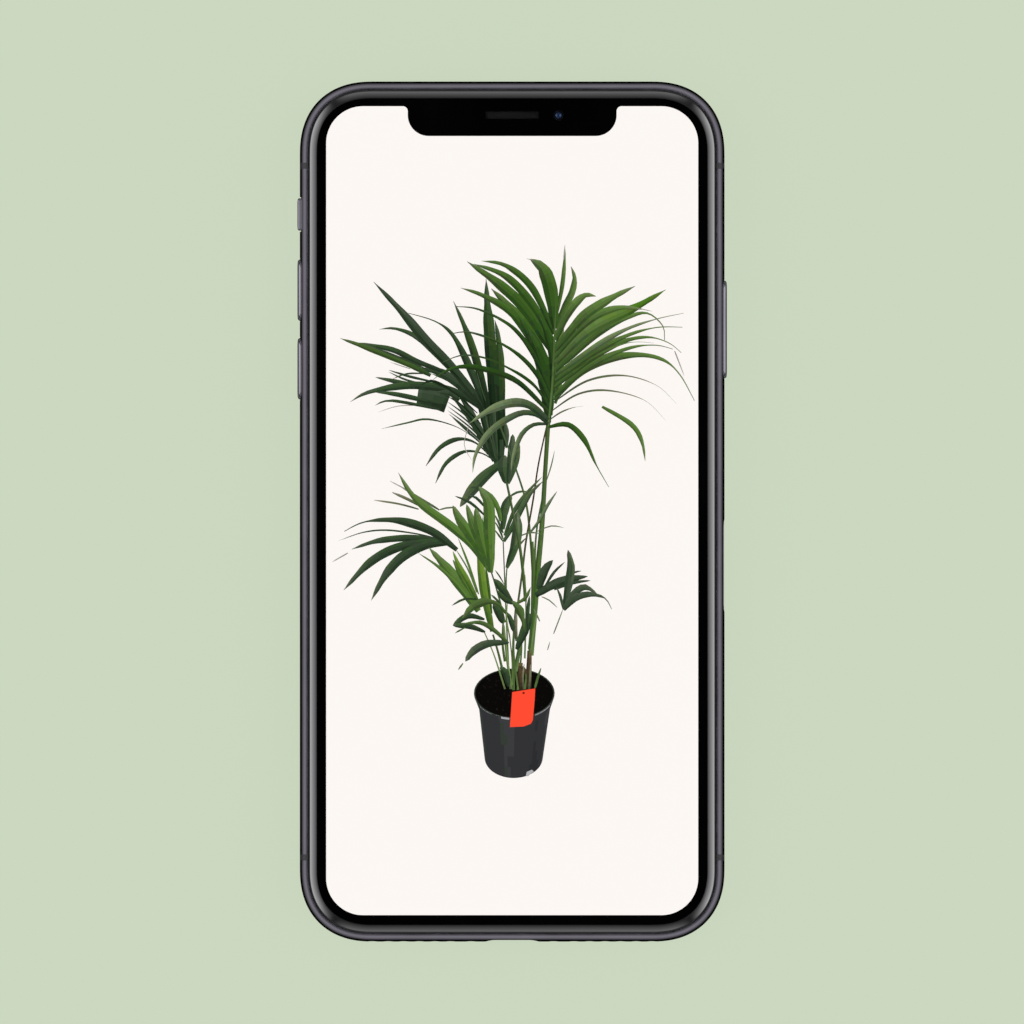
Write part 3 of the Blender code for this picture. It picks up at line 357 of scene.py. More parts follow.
@dataclass(frozen=True)
class Moulded(Finish):
    """Moulded plastic, paint or print with a fine grain."""

    colour: Colour = (0.02, 0.02, 0.022)
    roughness: float = 0.5
    grain: float = 0.12 * MM
    relief: float = 0.004 * MM
    mirror: float = 0.5

    def paint(self, graph: Graph) -> None:
        """Grain in the relief and in the gloss, and faint clouds in the tint."""
        grain = graph.noise(self.grain, 2.0)
        clouds = graph.noise(4 * MM, 2.0)
        lighter = tuple(min(1.0, 1.18 * part + 0.001) for part in self.colour)
        graph.surface(
            Base_Color=graph.blend(clouds.between(0.3, 0.7), self.colour, lighter),
            Roughness=self.roughness + (grain - 0.5) * 0.16,
            Specular_IOR_Level=self.mirror,
            Normal=graph.bump(grain, 0.5, self.relief),
        )


@dataclass(frozen=True)
class PolishedGlass(Finish):
    """Glass over a print: a still surface with faint finger smears in its gloss."""

    colour: Colour = (0.0006, 0.0006, 0.0008)
    roughness: float = 0.04
    smear: float = 0.05

    def paint(self, graph: Graph) -> None:
        """Smears show in the gloss, and a trace of them in the tint."""
        wide, fine = graph.smears()
        tinted = tuple(1.5 * part for part in self.colour)
        graph.surface(
            Base_Color=graph.blend(wide, self.colour, tinted),
            Roughness=self.roughness + self.smear * wide * fine,
        )


@dataclass(frozen=True)
class RimHighlight(Finish):
    """The rounded rim of a face glass, with a painted highlight: its mirror colour grows lighter down the
    rim, standing in for the light that the curve catches.
    """

    face: float = 0.0
    fall: float = 0.4 * MM
    # flat is the mirror colour at the face; rim is the painted highlight's colour lowest down the rim
    flat: Colour = (0.04, 0.04, 0.042)
    rim: Colour = (0.165, 0.163, 0.166)

    def paint(self, graph: Graph) -> None:
        """Painted highlight: the mirror colour is lighter the further the rim falls below the face."""
        depth = ((graph.axis("Z") - self.face) * (-1 / self.fall)).between(0.0, 1.0)
        clouds = graph.noise(2.5 * MM, 2.0)
        graph.surface(
            Base_Color=graph.blend(depth**0.45, self.flat, self.rim),
            Metallic=1.0,
            Roughness=0.13 + (clouds - 0.5) * 0.06,
        )


@dataclass(frozen=True)
class Ink(Finish):
    """One plain tint of the picture. The picture's shading is dealt out ink by ink over its strips."""

    colour: Colour
    glow: float = 0.713
    body: float = 0.3

    def gloss(self, graph: Graph) -> Term:
        """An even gloss, so that the tint leaves the screen as it was mixed."""
        return 0.08

    def paint(self, graph: Graph) -> None:
        """A glow of the tint's own colour under the gloss."""
        graph.surface(
            Base_Color=rgba(tuple(self.body * part for part in self.colour)),
            Roughness=self.gloss(graph),
            Emission_Color=rgba(self.colour),
            Emission_Strength=self.glow,
        )


@dataclass(frozen=True)
class LitSheet(Ink):
    """The lit white of the screen, behind the smears of the glass."""

    def gloss(self, graph: Graph) -> Term:
        """The gloss of a touched glass."""
        wide, fine = graph.smears()
        return 0.06 + 0.05 * wide * fine


@dataclass(frozen=True)
class CoatedLens(Finish):
    """A small lens: dark glass whose coating tints what it mirrors."""

    centre: Point2 = (0.0, 0.0)
    radius: float = 1 * MM
    middle: Colour = (0.0004, 0.0012, 0.016)
    rim: Colour = (0.0008, 0.002, 0.012)
    coating: Colour = (0.3, 0.55, 1.0)

    def paint(self, graph: Graph) -> None:
        """Rings of tint round the optical axis."""
        share = graph.reach(self.centre) * (1 / self.radius)
        dust = graph.noise(0.08 * MM, 1.0).between(0.62, 0.8)
        graph.surface(
            Base_Color=graph.blend(share.between(0.35, 1.0) ** 2.0, self.middle, self.rim),
            Roughness=0.08 + dust * 0.1,
            Specular_IOR_Level=1.0,
            Specular_Tint=rgba(self.coating),
        )


@dataclass(frozen=True)
class ClearCover(Finish):
    """A thin clear window that only adds a little gloss."""

    alpha: float = 0.05

    def paint(self, graph: Graph) -> None:
        """Almost nothing but its polish and a trace of dust."""
        dust = graph.noise(0.3 * MM, 1.0).between(0.6, 0.9)
        graph.surface(
            Base_Color=rgba((0.02, 0.02, 0.03)),
            Roughness=0.03 + dust * 0.1,
            Alpha=self.alpha,
        )


@dataclass(frozen=True)
class BoardPrint(Finish):
    """A circuit board under metal shields: a patchwork of cans with the board between them."""

    board: Colour = (0.03, 0.12, 0.08)
    shield: Colour = (0.45, 0.46, 0.47)
    patch: float = 7 * MM

    def paint(self, graph: Graph) -> None:
        """Square cells with a border of board."""
        cells = graph.node(
            "ShaderNodeTexVoronoi",
            {"feature": "DISTANCE_TO_EDGE"},
            {"Vector": graph.place(), "Scale": 1 / self.patch, "Randomness": 0.35},
        )
        cans = cells.above(0.12)
        grain = graph.noise(0.5 * MM, 3.0)
        graph.surface(
            Base_Color=graph.blend(cans, self.board, self.shield),
            Metallic=cans * 0.9,
            Roughness=0.42 + (grain - 0.5) * 0.2,
            Normal=graph.bump(cans + grain * 0.1, 0.5, 0.08 * MM),
        )


def arc(centre: Point2, radius: float, start: float, end: float, steps: int) -> list[Point2]:
    """Points of an arc, both ends included.

    Args:
        centre: the arc's centre.
        radius: its radius.
        start: the first angle in degrees, counter-clockwise from the first axis.
        end: the last angle in degrees.
        steps: the number of chords.

    Returns:
        The points in order.
    """
    angles = [math.radians(start + (end - start) * i / steps) for i in range(steps + 1)]
    return [(centre[0] + radius * math.cos(a), centre[1] + radius * math.sin(a)) for a in angles]


@dataclass(frozen=True)
class Outline:
    """A rectangle with round corners: a bar with half-round ends or a circle at its limits."""

    width: float
    height: float
    corner: float
    centre: Point2 = (0.0, 0.0)
    steps: int = 10

    @classmethod
    def bar(cls, length: float, width: float, centre: Point2 = (0.0, 0.0), steps: int = 12) -> "Outline":
        """A bar with half-round ends, lying along the first axis."""
        return cls(length, width, width / 2, centre, steps)

    @classmethod
    def disc(cls, radius: float, centre: Point2 = (0.0, 0.0), steps: int = 16) -> "Outline":
        """A circle."""
        return cls(2 * radius, 2 * radius, radius, centre, steps)

    def points(self, grow: float = 0.0) -> list[Point2]:
        """The outline, counter-clockwise and with no point twice.

        Args:
            grow: how far it is moved outwards.

        Returns:
            Its points.
        """
        corner = max(self.corner + grow, 0.01 * MM)
        across = self.width / 2 + grow - corner
        up = self.height / 2 + grow - corner
        found: list[Point2] = []
        for x, y, start in ((across, up, 0), (-across, up, 90), (-across, -up, 180), (across, -up, 270)):
            middle = (self.centre[0] + x, self.centre[1] + y)
            for point in arc(middle, corner, start, start + 90, self.steps):
                if not found or math.dist(point, found[-1]) > TOUCHING:
                    found.append(point)
        if math.dist(found[0], found[-1]) < TOUCHING:
            found.pop()
        return found

    def level(self, height: float, grow: float = 0.0) -> list[Point3]:
        """The outline as points at a height."""
        return [(x, y, height) for x, y in self.points(grow)]


class Form:
    """A mesh under construction."""

    def __init__(self) -> None:
        """Starts empty."""
        self.shape = bmesh.new()

    def loft(
        self,
        rings: Sequence[Sequence[Point3]],
        closed: bool = False,
        caps: bool = True,
        tints: Sequence[int] = (),
    ) -> "Form":
        """Skins rings of equal length.

        Args:
            rings: the rings in order.
            closed: whether the last ring meets the first.
            caps: whether an open loft is closed at both ends.
            tints: the finish of each band between two rings, the first finish where it is short.

        Returns:
            The form itself.
        """
        rows = [[self.shape.verts.new(point) for point in ring] for ring in rings]
        pairs = list(zip(rows, rows[1:]))
        if closed:
            pairs.append((rows[-1], rows[0]))
        for band, (low, high) in enumerate(pairs):
            for i, corner in enumerate(low):
                after = (i + 1) % len(low)
                face = self.shape.faces.new((corner, low[after], high[after], high[i]))
                face.material_index = tints[band] if band < len(tints) else 0
        if caps and not closed:
            self.shape.faces.new(rows[0])
            self.shape.faces.new(rows[-1])
        return self

    def stack(self, outline: Outline, steps: Iterable[Point2]) -> "Form":
        """Adds a shape over an outline, by how far each ring grows and its height."""
        return self.loft([outline.level(height, grow) for grow, height in steps])

    def prism(self, outline: Outline, low: float, high: float) -> "Form":
        """Adds a straight shape over an outline, from one height to another."""
        return self.stack(outline, ((0.0, low), (0.0, high)))

    def turned(
        self, centre: Point2, steps: Iterable[Point2], tints: Sequence[int] = (), quarter: int = 16
    ) -> "Form":
        """Adds a round shape on an upright axis.

        Args:
            centre: where its axis stands.
            steps: the radius and the height of each ring.
            tints: the finish of each band between two rings.
            quarter: the chords in a quarter of a ring.

        Returns:
            The form itself.
        """
        rings = [Outline.disc(radius, centre, quarter).level(height) for radius, height in steps]
        return self.loft(rings, tints=tints)

    def tube(self, path: Sequence[Point3], radius: float, sides: int = 6) -> "Form":
        """A wire of one radius along a path, closed at both ends.

        Args:
            path: the points of its middle line.
            radius: its radius.
            sides: the sides of its cross-section.

        Returns:
            The form itself.
        """
        rings = []
        for i, point in enumerate(path):
            ahead = Vector(path[min(i + 1, len(path) - 1)]) - Vector(path[max(i - 1, 0)])
            turn = ahead.to_track_quat("Z", "Y")
            ring = []
            for x, y in arc((0.0, 0.0), radius, 0, 360, sides)[:-1]:
                ring.append(tuple(Vector(point) + turn @ Vector((x, y, 0.0))))
            rings.append(ring)
        return self.loft(rings)

    def patch(self, points: Sequence[Point3]) -> None:
        """Adds one face over its corners."""
        self.shape.faces.new([self.shape.verts.new(point) for point in points])


@dataclass(frozen=True)
class Piece:
    """One visible piece: its name, the body that carries it and the solids it stands for.

    A piece whose form is made of overlapping shells says so, so that its cuts come out whole.
    """

    name: str
    slot: str
    body: str = "phone"
    replaces: tuple[str, ...] = ()
    sharp: float = 32.0
    overlapping: bool = False

    def make(self, form: Form, *finishes: Finish, cutters: Sequence[Form] = ()) -> None:
        """Turns a form into a dressed piece on its body.

        Args:
            form: the shape.
            finishes: its finishes, in the order of the form's tints.
            cutters: closed shapes that are taken away from it.
        """
        obj = self._object(self.name, form)
        for finish in finishes:
            obj.data.materials.append(finish.material())
        if cutters:
            self._carve(obj, cutters)
        obj.data.shade_smooth()
        obj.data.set_sharp_from_angle(angle=math.radians(self.sharp))
        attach(obj, self.body)
        if self.replaces:
            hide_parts(*self.replaces)
        LOG.info("%s: %d faces on %s", self.name, len(obj.data.polygons), self.body)

    @staticmethod
    def _object(name: str, form: Form) -> bpy.types.Object:
        """Links a form as an object.

        Args:
            name: the object's name.
            form: its shape, which is used up.

        Returns:
            The object.
        """
        bmesh.ops.recalc_face_normals(form.shape, faces=form.shape.faces)
        mesh = bpy.data.meshes.new(name)
        form.shape.to_mesh(mesh)
        form.shape.free()
        obj = bpy.data.objects.new(name, mesh)
        bpy.context.scene.collection.objects.link(obj)
        return obj

    def _carve(self, obj: bpy.types.Object, cutters: Sequence[Form]) -> None:
        """Takes forms away from an object and keeps only the result.

        Args:
            obj: the object.
            cutters: the closed forms.
        """
        tools = [self._object(f"{self.name}_cutter_{i}", form) for i, form in enumerate(cutters)]
        for tool in tools:
            step = obj.modifiers.new(tool.name, "BOOLEAN")
            step.operation = "DIFFERENCE"
            step.solver = "EXACT"
            step.use_self = self.overlapping
            step.object = tool
        seen = obj.evaluated_get(bpy.context.evaluated_depsgraph_get())
        result = bpy.data.meshes.new_from_object(seen)
        obj.modifiers.clear()
        obj.data = result
        for tool in tools:
            bpy.data.objects.remove(tool, do_unlink=True)


class Wall(Enum):
    """The straight walls of the band that have openings, by the way that they face."""

    LEFT = (-1, 0)
    RIGHT = (1, 0)
    BOTTOM = (0, -1)


@dataclass(frozen=True)
class Silhouette:
    """The phone's outline seen from the front and its rounded edge seen from the side."""

    half_width: float
    half_length: float
    half_thickness: float
    middle: float
    corner_reach: float = 12.2 * MM
    corner_power: float = 2.3
    corner_steps: int = 36
    edge_depth: float = 2.9 * MM

    @classmethod
    def from_frame(cls) -> "Silhouette":
        """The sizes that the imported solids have.

        Returns:
            The silhouette.
        """
        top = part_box("band_top")[1]
        face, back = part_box("cover_glass")[1].z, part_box("back_glass")[0].z
        return cls(top.x, top.y, (face - back) / 2, (face + back) / 2)

    @property
    def face(self) -> float:
        """The height of the front glass."""
        return self.middle + self.half_thickness

    @property
    def back(self) -> float:
        """The height of the back glass."""
        return self.middle - self.half_thickness

    def inset_at(self, rise: float) -> float:
        """How far the rounded edge lies inside the outline at a rise."""
        return self.edge_depth * (1 - math.sqrt(max(0.0, 1 - (rise / self.half_thickness) ** 2)))

    def rise_at(self, inset: float) -> float:
        """The rise of the rounded edge at an inset."""
        share = 1 - min(inset, self.edge_depth) / self.edge_depth
        return self.half_thickness * math.sqrt(1 - share**2)

    def corner(self, sign_x: int, sign_y: int) -> list[Station]:
        """Points and outward normals of one corner, a quarter of a superellipse.

        Args:
            sign_x: 1 for the right side, -1 for the left.
            sign_y: 1 for the top, -1 for the bottom.

        Returns:
            The stations, counter-clockwise and evenly spaced by their normal.
        """
        stations = []
        power, rise = self.corner_power, 1 / (self.corner_power - 1)
        for i in range(self.corner_steps + 1):
            turn = math.radians(90 * i / self.corner_steps)
            if sign_x * sign_y < 0:
                turn = math.pi / 2 - turn
            cos, sin = max(math.cos(turn), 0.0), max(math.sin(turn), 0.0)
            size = (cos ** (power * rise) + sin ** (power * rise)) ** (1 / power)
            x = self.half_width - self.corner_reach * (1 - cos**rise / size)
            y = self.half_length - self.corner_reach * (1 - sin**rise / size)
            stations.append(((sign_x * x, sign_y * y), (sign_x * cos, sign_y * sin)))
        return stations

    def end(self, sign: int, reach: float) -> list[Station]:
        """One end of the outline with both its corners, up to a reach along the sides."""
        sides = [((s * self.half_width, sign * reach), (float(s), 0.0)) for s in (sign, -sign)]
        return [sides[0], *self.corner(sign, sign), *self.corner(-sign, sign), sides[1]]

    def side(self, sign: int, low: float, high: float) -> list[Station]:
        """The two ends of a straight stretch of one side, counter-clockwise."""
        ends = (low, high) if sign > 0 else (high, low)
        return [((sign * self.half_width, y), (float(sign), 0.0)) for y in ends]

    def loop(self) -> list[Station]:
        """The whole outline, counter-clockwise from the right side."""
        signs = ((1, 1), (-1, 1), (-1, -1), (1, -1))
        return [station for sign in signs for station in self.corner(*sign)]

    def ring(self, inset: float, rise: float) -> list[Point3]:
        """The whole outline moved inwards, at a rise."""
        return [(x - inset * nx, y - inset * ny, self.middle + rise) for (x, y), (nx, ny) in self.loop()]

    def on_wall(
        self, wall: Wall, outline: Iterable[Point2], depth: float, hug: bool = False
    ) -> list[Point3]:
        """Stands an outline on a wall of the band.

        Args:
            wall: the wall.
            outline: points by their place along the wall and their rise.
            depth: how far inside the wall's outermost line the outline lies.
            hug: whether the depth counts from the rounded surface instead.

        Returns:
            The points in the frame's axes.
        """
        sign_x, sign_y = wall.value
        points = []
        for along, rise in outline:
            inside = depth + (self.inset_at(rise) if hug else 0.0)
            if sign_x:
                point = (sign_x * (self.half_width - inside), along, self.middle + rise)
            else:
                point = (along, sign_y * (self.half_length - inside), self.middle + rise)
            points.append(point)
        return points

    def tiers(self, wall: Wall, outline: Outline, steps: Iterable[Point2]) -> list[list[Point3]]:
        """Rings of an outline on a wall, by how far each ring grows and its depth."""
        return [self.on_wall(wall, outline.points(grow), depth) for grow, depth in steps]

    def shaft(self, wall: Wall, outline: Outline, *depths: float) -> list[list[Point3]]:
        """Rings of an outline on a wall, as it is, at each of the depths."""
        return self.tiers(wall, outline, [(0.0, depth) for depth in depths])

    def opening(self, wall: Wall, outline: Outline, steps: Sequence[Point2], chamfer: float) -> Form:
        """A cutter for an opening with a chamfered rim that follows the rounded wall.

        Args:
            wall: the wall that it goes through.
            outline: its outline.
            steps: further rings inwards, as an amount that the outline grows and a depth.
            chamfer: the width of the rim's chamfer.

        Returns:
            The cutter.
        """
        rings = [
            self.on_wall(wall, outline.points(chamfer), -1 * MM),
            self.on_wall(wall, outline.points(chamfer), 0.0, True),
            self.on_wall(wall, outline.points(), chamfer, True),
        ]
        return Form().loft(rings + self.tiers(wall, outline, steps))

    def raised(
        self, wall: Wall, outline: Outline, depths: Point2, proud: float, rounding: float
    ) -> list[list[Point3]]:
        """Rings of a key that stands out of a wall, with a rounded rim and a slightly full face.

        Args:
            wall: the wall.
            outline: the key's outline.
            depths: the depths that the key's stem runs from and to.
            proud: how far its face stands outside the wall's outermost line.
            rounding: the radius of its rim.

        Returns:
            The rings from the inside out.
        """
        crown, count = 0.04 * MM, 7
        steps = [(0.0, depth) for depth in depths]
        for i in range(count + 1):
            turn = math.radians(90 * i / count)
            depth = -(proud - crown - rounding * (1 - math.sin(turn)))
            steps.append((-rounding * (1 - math.cos(turn)), depth))
        inner = min(outline.width, outline.height) / 2 - rounding
        for share, lift in ((0.35, 0.6), (0.7, 0.9), (0.9, 1.0)):
            steps.append((-rounding - inner * share, -(proud - crown * (1 - lift))))
        return self.tiers(wall, outline, steps)


STEEL = CoatedSteel("violet_steel")
KEY_STEEL = CoatedSteel("key_steel", (0.19, 0.183, 0.208), 0.2)
SWITCH_STEEL = CoatedSteel("switch_steel", (0.2, 0.19, 0.22), 0.3)
CONTACT_GOLD = BareMetal("contact_gold", (0.85, 0.65, 0.3), 0.25)
BLACK_PLASTIC = Moulded("black_plastic")
GLOSS_BLACK = PolishedGlass("black_print_glass")


@dataclass
class Band:
    """The steel band in four lengths, with every opening in it."""

    body: Silhouette
    lip: Point2 = (1.2 * MM, 1.4 * MM)
    wall: float = 3.0 * MM
    glass_thickness: float = 0.8 * MM
    seat: float = 0.3 * MM
    profile_steps: int = 40
    break_gap: float = 0.02 * MM
    openings: dict[Wall, list[Form]] = field(default_factory=lambda: {wall: [] for wall in Wall})

    def cut(self, wall: Wall, outline: Outline, steps: Sequence[Point2], chamfer: float) -> None:
        """Notes an opening that the band gets when it is built."""
        self.openings[wall].append(self.body.opening(wall, outline, steps, chamfer))

    def profile(self) -> list[Point2]:
        """The cross-section: rounded outside, with a ledge for each glass.

        Returns:
            Pairs of inset and rise.
        """
        body = self.body
        land = body.rise_at(self.lip[0])
        ledge = body.half_thickness - self.glass_thickness - self.seat
        outer = []
        for i in range(self.profile_steps + 1):
            turn = math.asin(land / body.half_thickness) * (2 * i / self.profile_steps - 1)
            rise = body.half_thickness * math.sin(turn)
            outer.append((body.inset_at(rise), rise))
        ease = 0.04 * MM
        inner = [
            (self.lip[1] - ease, land),
            (self.lip[1], land - ease),
            (self.lip[1], ledge),
            (self.wall, ledge),
        ]
        return outer + inner + [(inset, -rise) for inset, rise in reversed(inner)]

    def length(self, stations: Sequence[Station]) -> Form:
        """A length of the band.

        Args:
            stations: the part of the outline that it follows.

        Returns:
            Its form.
        """
        middle = self.body.middle
        rings = []
        for (x, y), (nx, ny) in stations:
            rings.append([(x - inset * nx, y - inset * ny, middle + rise) for inset, rise in self.profile()])
        return Form().loft(rings)

    def build(self) -> None:
        """Makes the four lengths and the four plastic breaks between them."""
        body = self.body
        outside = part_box("band_top")[0].y
        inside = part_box("band_left")[1].y
        lengths = {
            "top": (body.end(1, outside), []),
            "bottom": (body.end(-1, outside), self.openings[Wall.BOTTOM]),
            "left": (body.side(-1, -inside, inside), self.openings[Wall.LEFT]),
            "right": (body.side(1, -inside, inside), self.openings[Wall.RIGHT]),
        }
        for name, (stations, cutters) in lengths.items():
            piece = Piece(f"steel_band_{name}", "band_steel", replaces=(f"band_{name}",))
            piece.make(self.length(stations), STEEL, cutters=cutters)
        plastic = Moulded("antenna_plastic", (0.026, 0.025, 0.03), 0.25)
        for sign, side in ((-1, "left"), (1, "right")):
            for end, name in ((-1, "bottom"), (1, "top")):
                low, high = sorted((end * (inside + self.break_gap), end * (outside - self.break_gap)))
                node = f"antenna_break_{name}_{side}"
                piece = Piece(f"antenna_strip_{name}_{side}", "antenna_plastic", replaces=(node,))
                piece.make(self.length(body.side(sign, low, high)), plastic)
        self._gaskets()

    def _gaskets(self) -> None:
        """The dark gasket in the groove between the steel and each glass."""
        plastic = Moulded("gasket", (0.008, 0.008, 0.009), 0.5)
        inner = self.lip[1] + 0.32 * MM
        land = self.body.rise_at(self.lip[0])
        for side, name in ((1, "front"), (-1, "back")):
            foot, top = land - 0.7 * MM, land - 0.3 * MM
            steps = ((self.lip[1], foot), (self.lip[1], top), (inner, top), (inner, foot))
            rings = [self.body.ring(inset, side * rise) for inset, rise in steps]
            Piece(f"{name}_gasket", "black_plastic").make(Form().loft(rings, closed=True), plastic)


@dataclass
class FaceGlass:
    """A sheet of glass with a rounded rim, on the front or on the back."""

    body: Silhouette
    inset: float = 1.68 * MM
    thickness: float = 0.8 * MM
    steps: int = 22

    def rings(self, side: int) -> tuple[list[list[Point3]], list[int]]:
        """Rings from the foot over the rounded rim to the flat face.

        Args:
            side: 1 for the front, -1 for the back.

        Returns:
            The rings, and the finish of each band between them.
        """
        body = self.body
        bottom = body.half_thickness - self.thickness
        foot, ease = 0.1 * MM, 0.03 * MM
        start = body.rise_at(self.inset + ease)
        steps = [
            (self.inset + foot, bottom),
            (self.inset, bottom + foot),
            (self.inset, start - ease),
        ]
        for i in range(self.steps + 1):
            inset = self.inset + ease + (body.edge_depth - self.inset - ease) * (i / self.steps) ** 1.4
            steps.append((inset, body.rise_at(inset)))
        steps.append((body.edge_depth + 0.05 * MM, body.half_thickness))
        tints = [1] * (len(steps) - 2) + [0]
        return [body.ring(inset, side * rise) for inset, rise in steps], tints


@dataclass
class Front:
    """The front glass with its black border, the ear speaker and the front camera."""

    glass: FaceGlass
    pocket: float = 0.2 * MM
    overlap: float = 0.03 * MM
    corner: float = 6.2 * MM
    notch_width: float = 34.76 * MM
    notch_depth: float = 4.97 * MM
    notch_corner: float = 3.45 * MM
    notch_fillet: float = 0.85 * MM
    sensor_y: float = 66.1 * MM
    lens_x: float = 7.7 * MM
    mesh_pitch: float = 0.2 * MM
    mesh_wire: float = 0.042 * MM
    well: float = 0.85 * MM
    lens_depth: float = 0.23 * MM
    lens_steps: tuple[Point2, ...] = (
        (0.66, 0.3), (0.62, 0.24), (0.6, 0.17), (0.5, 0.12),
        (0.4, 0.075), (0.3, 0.035), (0.22, 0.008), (0.16, 0.0),
    )

    def screen_points(self, grow: float = 0.0) -> list[Point2]:
        """The lit area inside the black print, with its notch.

        Args:
            grow: how far its edge is moved outwards.

        Returns:
            Its corners, counter-clockwise.
        """
        grow -= self.overlap
        low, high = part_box("display_panel")
        half, top, bottom = high.x + grow, high.y + grow, low.y - grow
        radius = self.corner + grow
        notch, bend, ear = self.notch_width / 2 - grow, self.notch_corner - grow, self.notch_fillet + grow
        floor = top - self.notch_depth
        points = arc((half - radius, top - radius), radius, 0, 90, 24)
        points += arc((notch + ear, top - ear), ear, 90, 180, 8)
        points += arc((notch - bend, floor + bend), bend, 0, -90, 16)
        points += arc((-notch + bend, floor + bend), bend, -90, -180, 16)
        points += arc((-notch - ear, top - ear), ear, 0, 90, 8)
        points += arc((-half + radius, top - radius), radius, 90, 180, 24)
        points += arc((-half + radius, bottom + radius), radius, 180, 270, 24)
        points += arc((half - radius, bottom + radius), radius, 270, 360, 24)
        return points

    def build(self) -> None:
        """Makes the glass, the mesh in the ear slot and the small camera."""
        body = self.glass.body
        rings, tints = self.glass.rings(1)
        # the rim of the front glass carries a painted highlight
        edge = RimHighlight("front_glass_rim_highlight", face=body.face)
        screen = self.screen_points()
        pocket = [[(x, y, z) for x, y in screen] for z in (body.face - self.pocket, body.face + MM)]
        slot = self._slot()
        well = Outline.disc(self.well, (self.lens_x, self.sensor_y), 20)
        holes = [Form().loft(pocket), self._drilled(slot, 0.06 * MM), self._drilled(well, 0.01 * MM)]
        piece = Piece("front_glass", "black_surround", replaces=("cover_glass", "display_surround"))
        piece.make(Form().loft(rings, tints=tints), GLOSS_BLACK, edge, cutters=holes)
        self._ear_mesh()
        self._camera()

    def _slot(self) -> Outline:
        """The ear speaker's slot, a little wider than its mesh."""
        (low, high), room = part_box("ear_speaker_mesh"), 0.24 * MM
        return Outline(high.x - low.x + room, high.y - low.y + room, 0.35 * MM, (0.0, self.sensor_y))

    def _drilled(self, outline: Outline, chamfer: float) -> Form:
        """A hole straight down through the front glass.

        Args:
            outline: its outline.
            chamfer: the width of the chamfer on its rim.

        Returns:
            The cutter.
        """
        face = self.glass.body.face
        steps = ((chamfer, face + MM), (chamfer, face), (0.0, face - chamfer), (0.0, face - 3 * MM))
        return Form().stack(outline, steps)

    def _ear_mesh(self) -> None:
        """The woven mesh that lies a little below the face in the ear slot."""
        low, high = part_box("ear_speaker_mesh")
        mesh = Weave((low.x, low.y), (high.x, high.y), self.mesh_pitch, self.mesh_wire)
        form = mesh.form(lambda u, v, lift: (u, v, high.z - 0.1 * MM + lift))
        outline = Outline(high.x - low.x, high.y - low.y, 0.23 * MM, (0.0, self.sensor_y))
        form.prism(outline, low.z, high.z - 0.2 * MM)
        piece = Piece("ear_grille", "speaker_mesh", replaces=("ear_speaker_mesh",))
        piece.make(form, Moulded("mesh_black", (0.004, 0.004, 0.004), 0.6, mirror=0.2))

    def _camera(self) -> None:
        """The front lens in its well under a clear cover."""
        low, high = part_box("front_camera_lens")
        centre = (self.lens_x, self.sensor_y)
        radius = (high.x - low.x) / 2
        face = self.glass.body.face
        top = face - self.lens_depth
        steps = [(radius, low.z), (radius, high.z), (self.well - 0.04 * MM, high.z)]
        steps += [(self.well - 0.04 * MM, top - 0.2 * MM), (self.well - 0.1 * MM, top - 0.16 * MM)]
        steps += [(size * MM, top - drop * MM) for size, drop in self.lens_steps]
        form = Form().turned(centre, steps, [1] * 5)
        piece = Piece("front_lens", "lens_glass", replaces=("front_camera_lens",), sharp=40)
        glass = CoatedLens("front_lens", centre, self.lens_steps[0][0] * MM)
        piece.make(form, glass, Moulded("lens_seat", (0.004, 0.004, 0.004), 0.4))
        cover = Outline.disc(self.well - 0.02 * MM, centre, 20)
        form = Form().prism(cover, face - 0.2 * MM, face - 0.02 * MM)
        Piece("front_lens_cover", "lens_glass").make(form, ClearCover("clear_cover"))


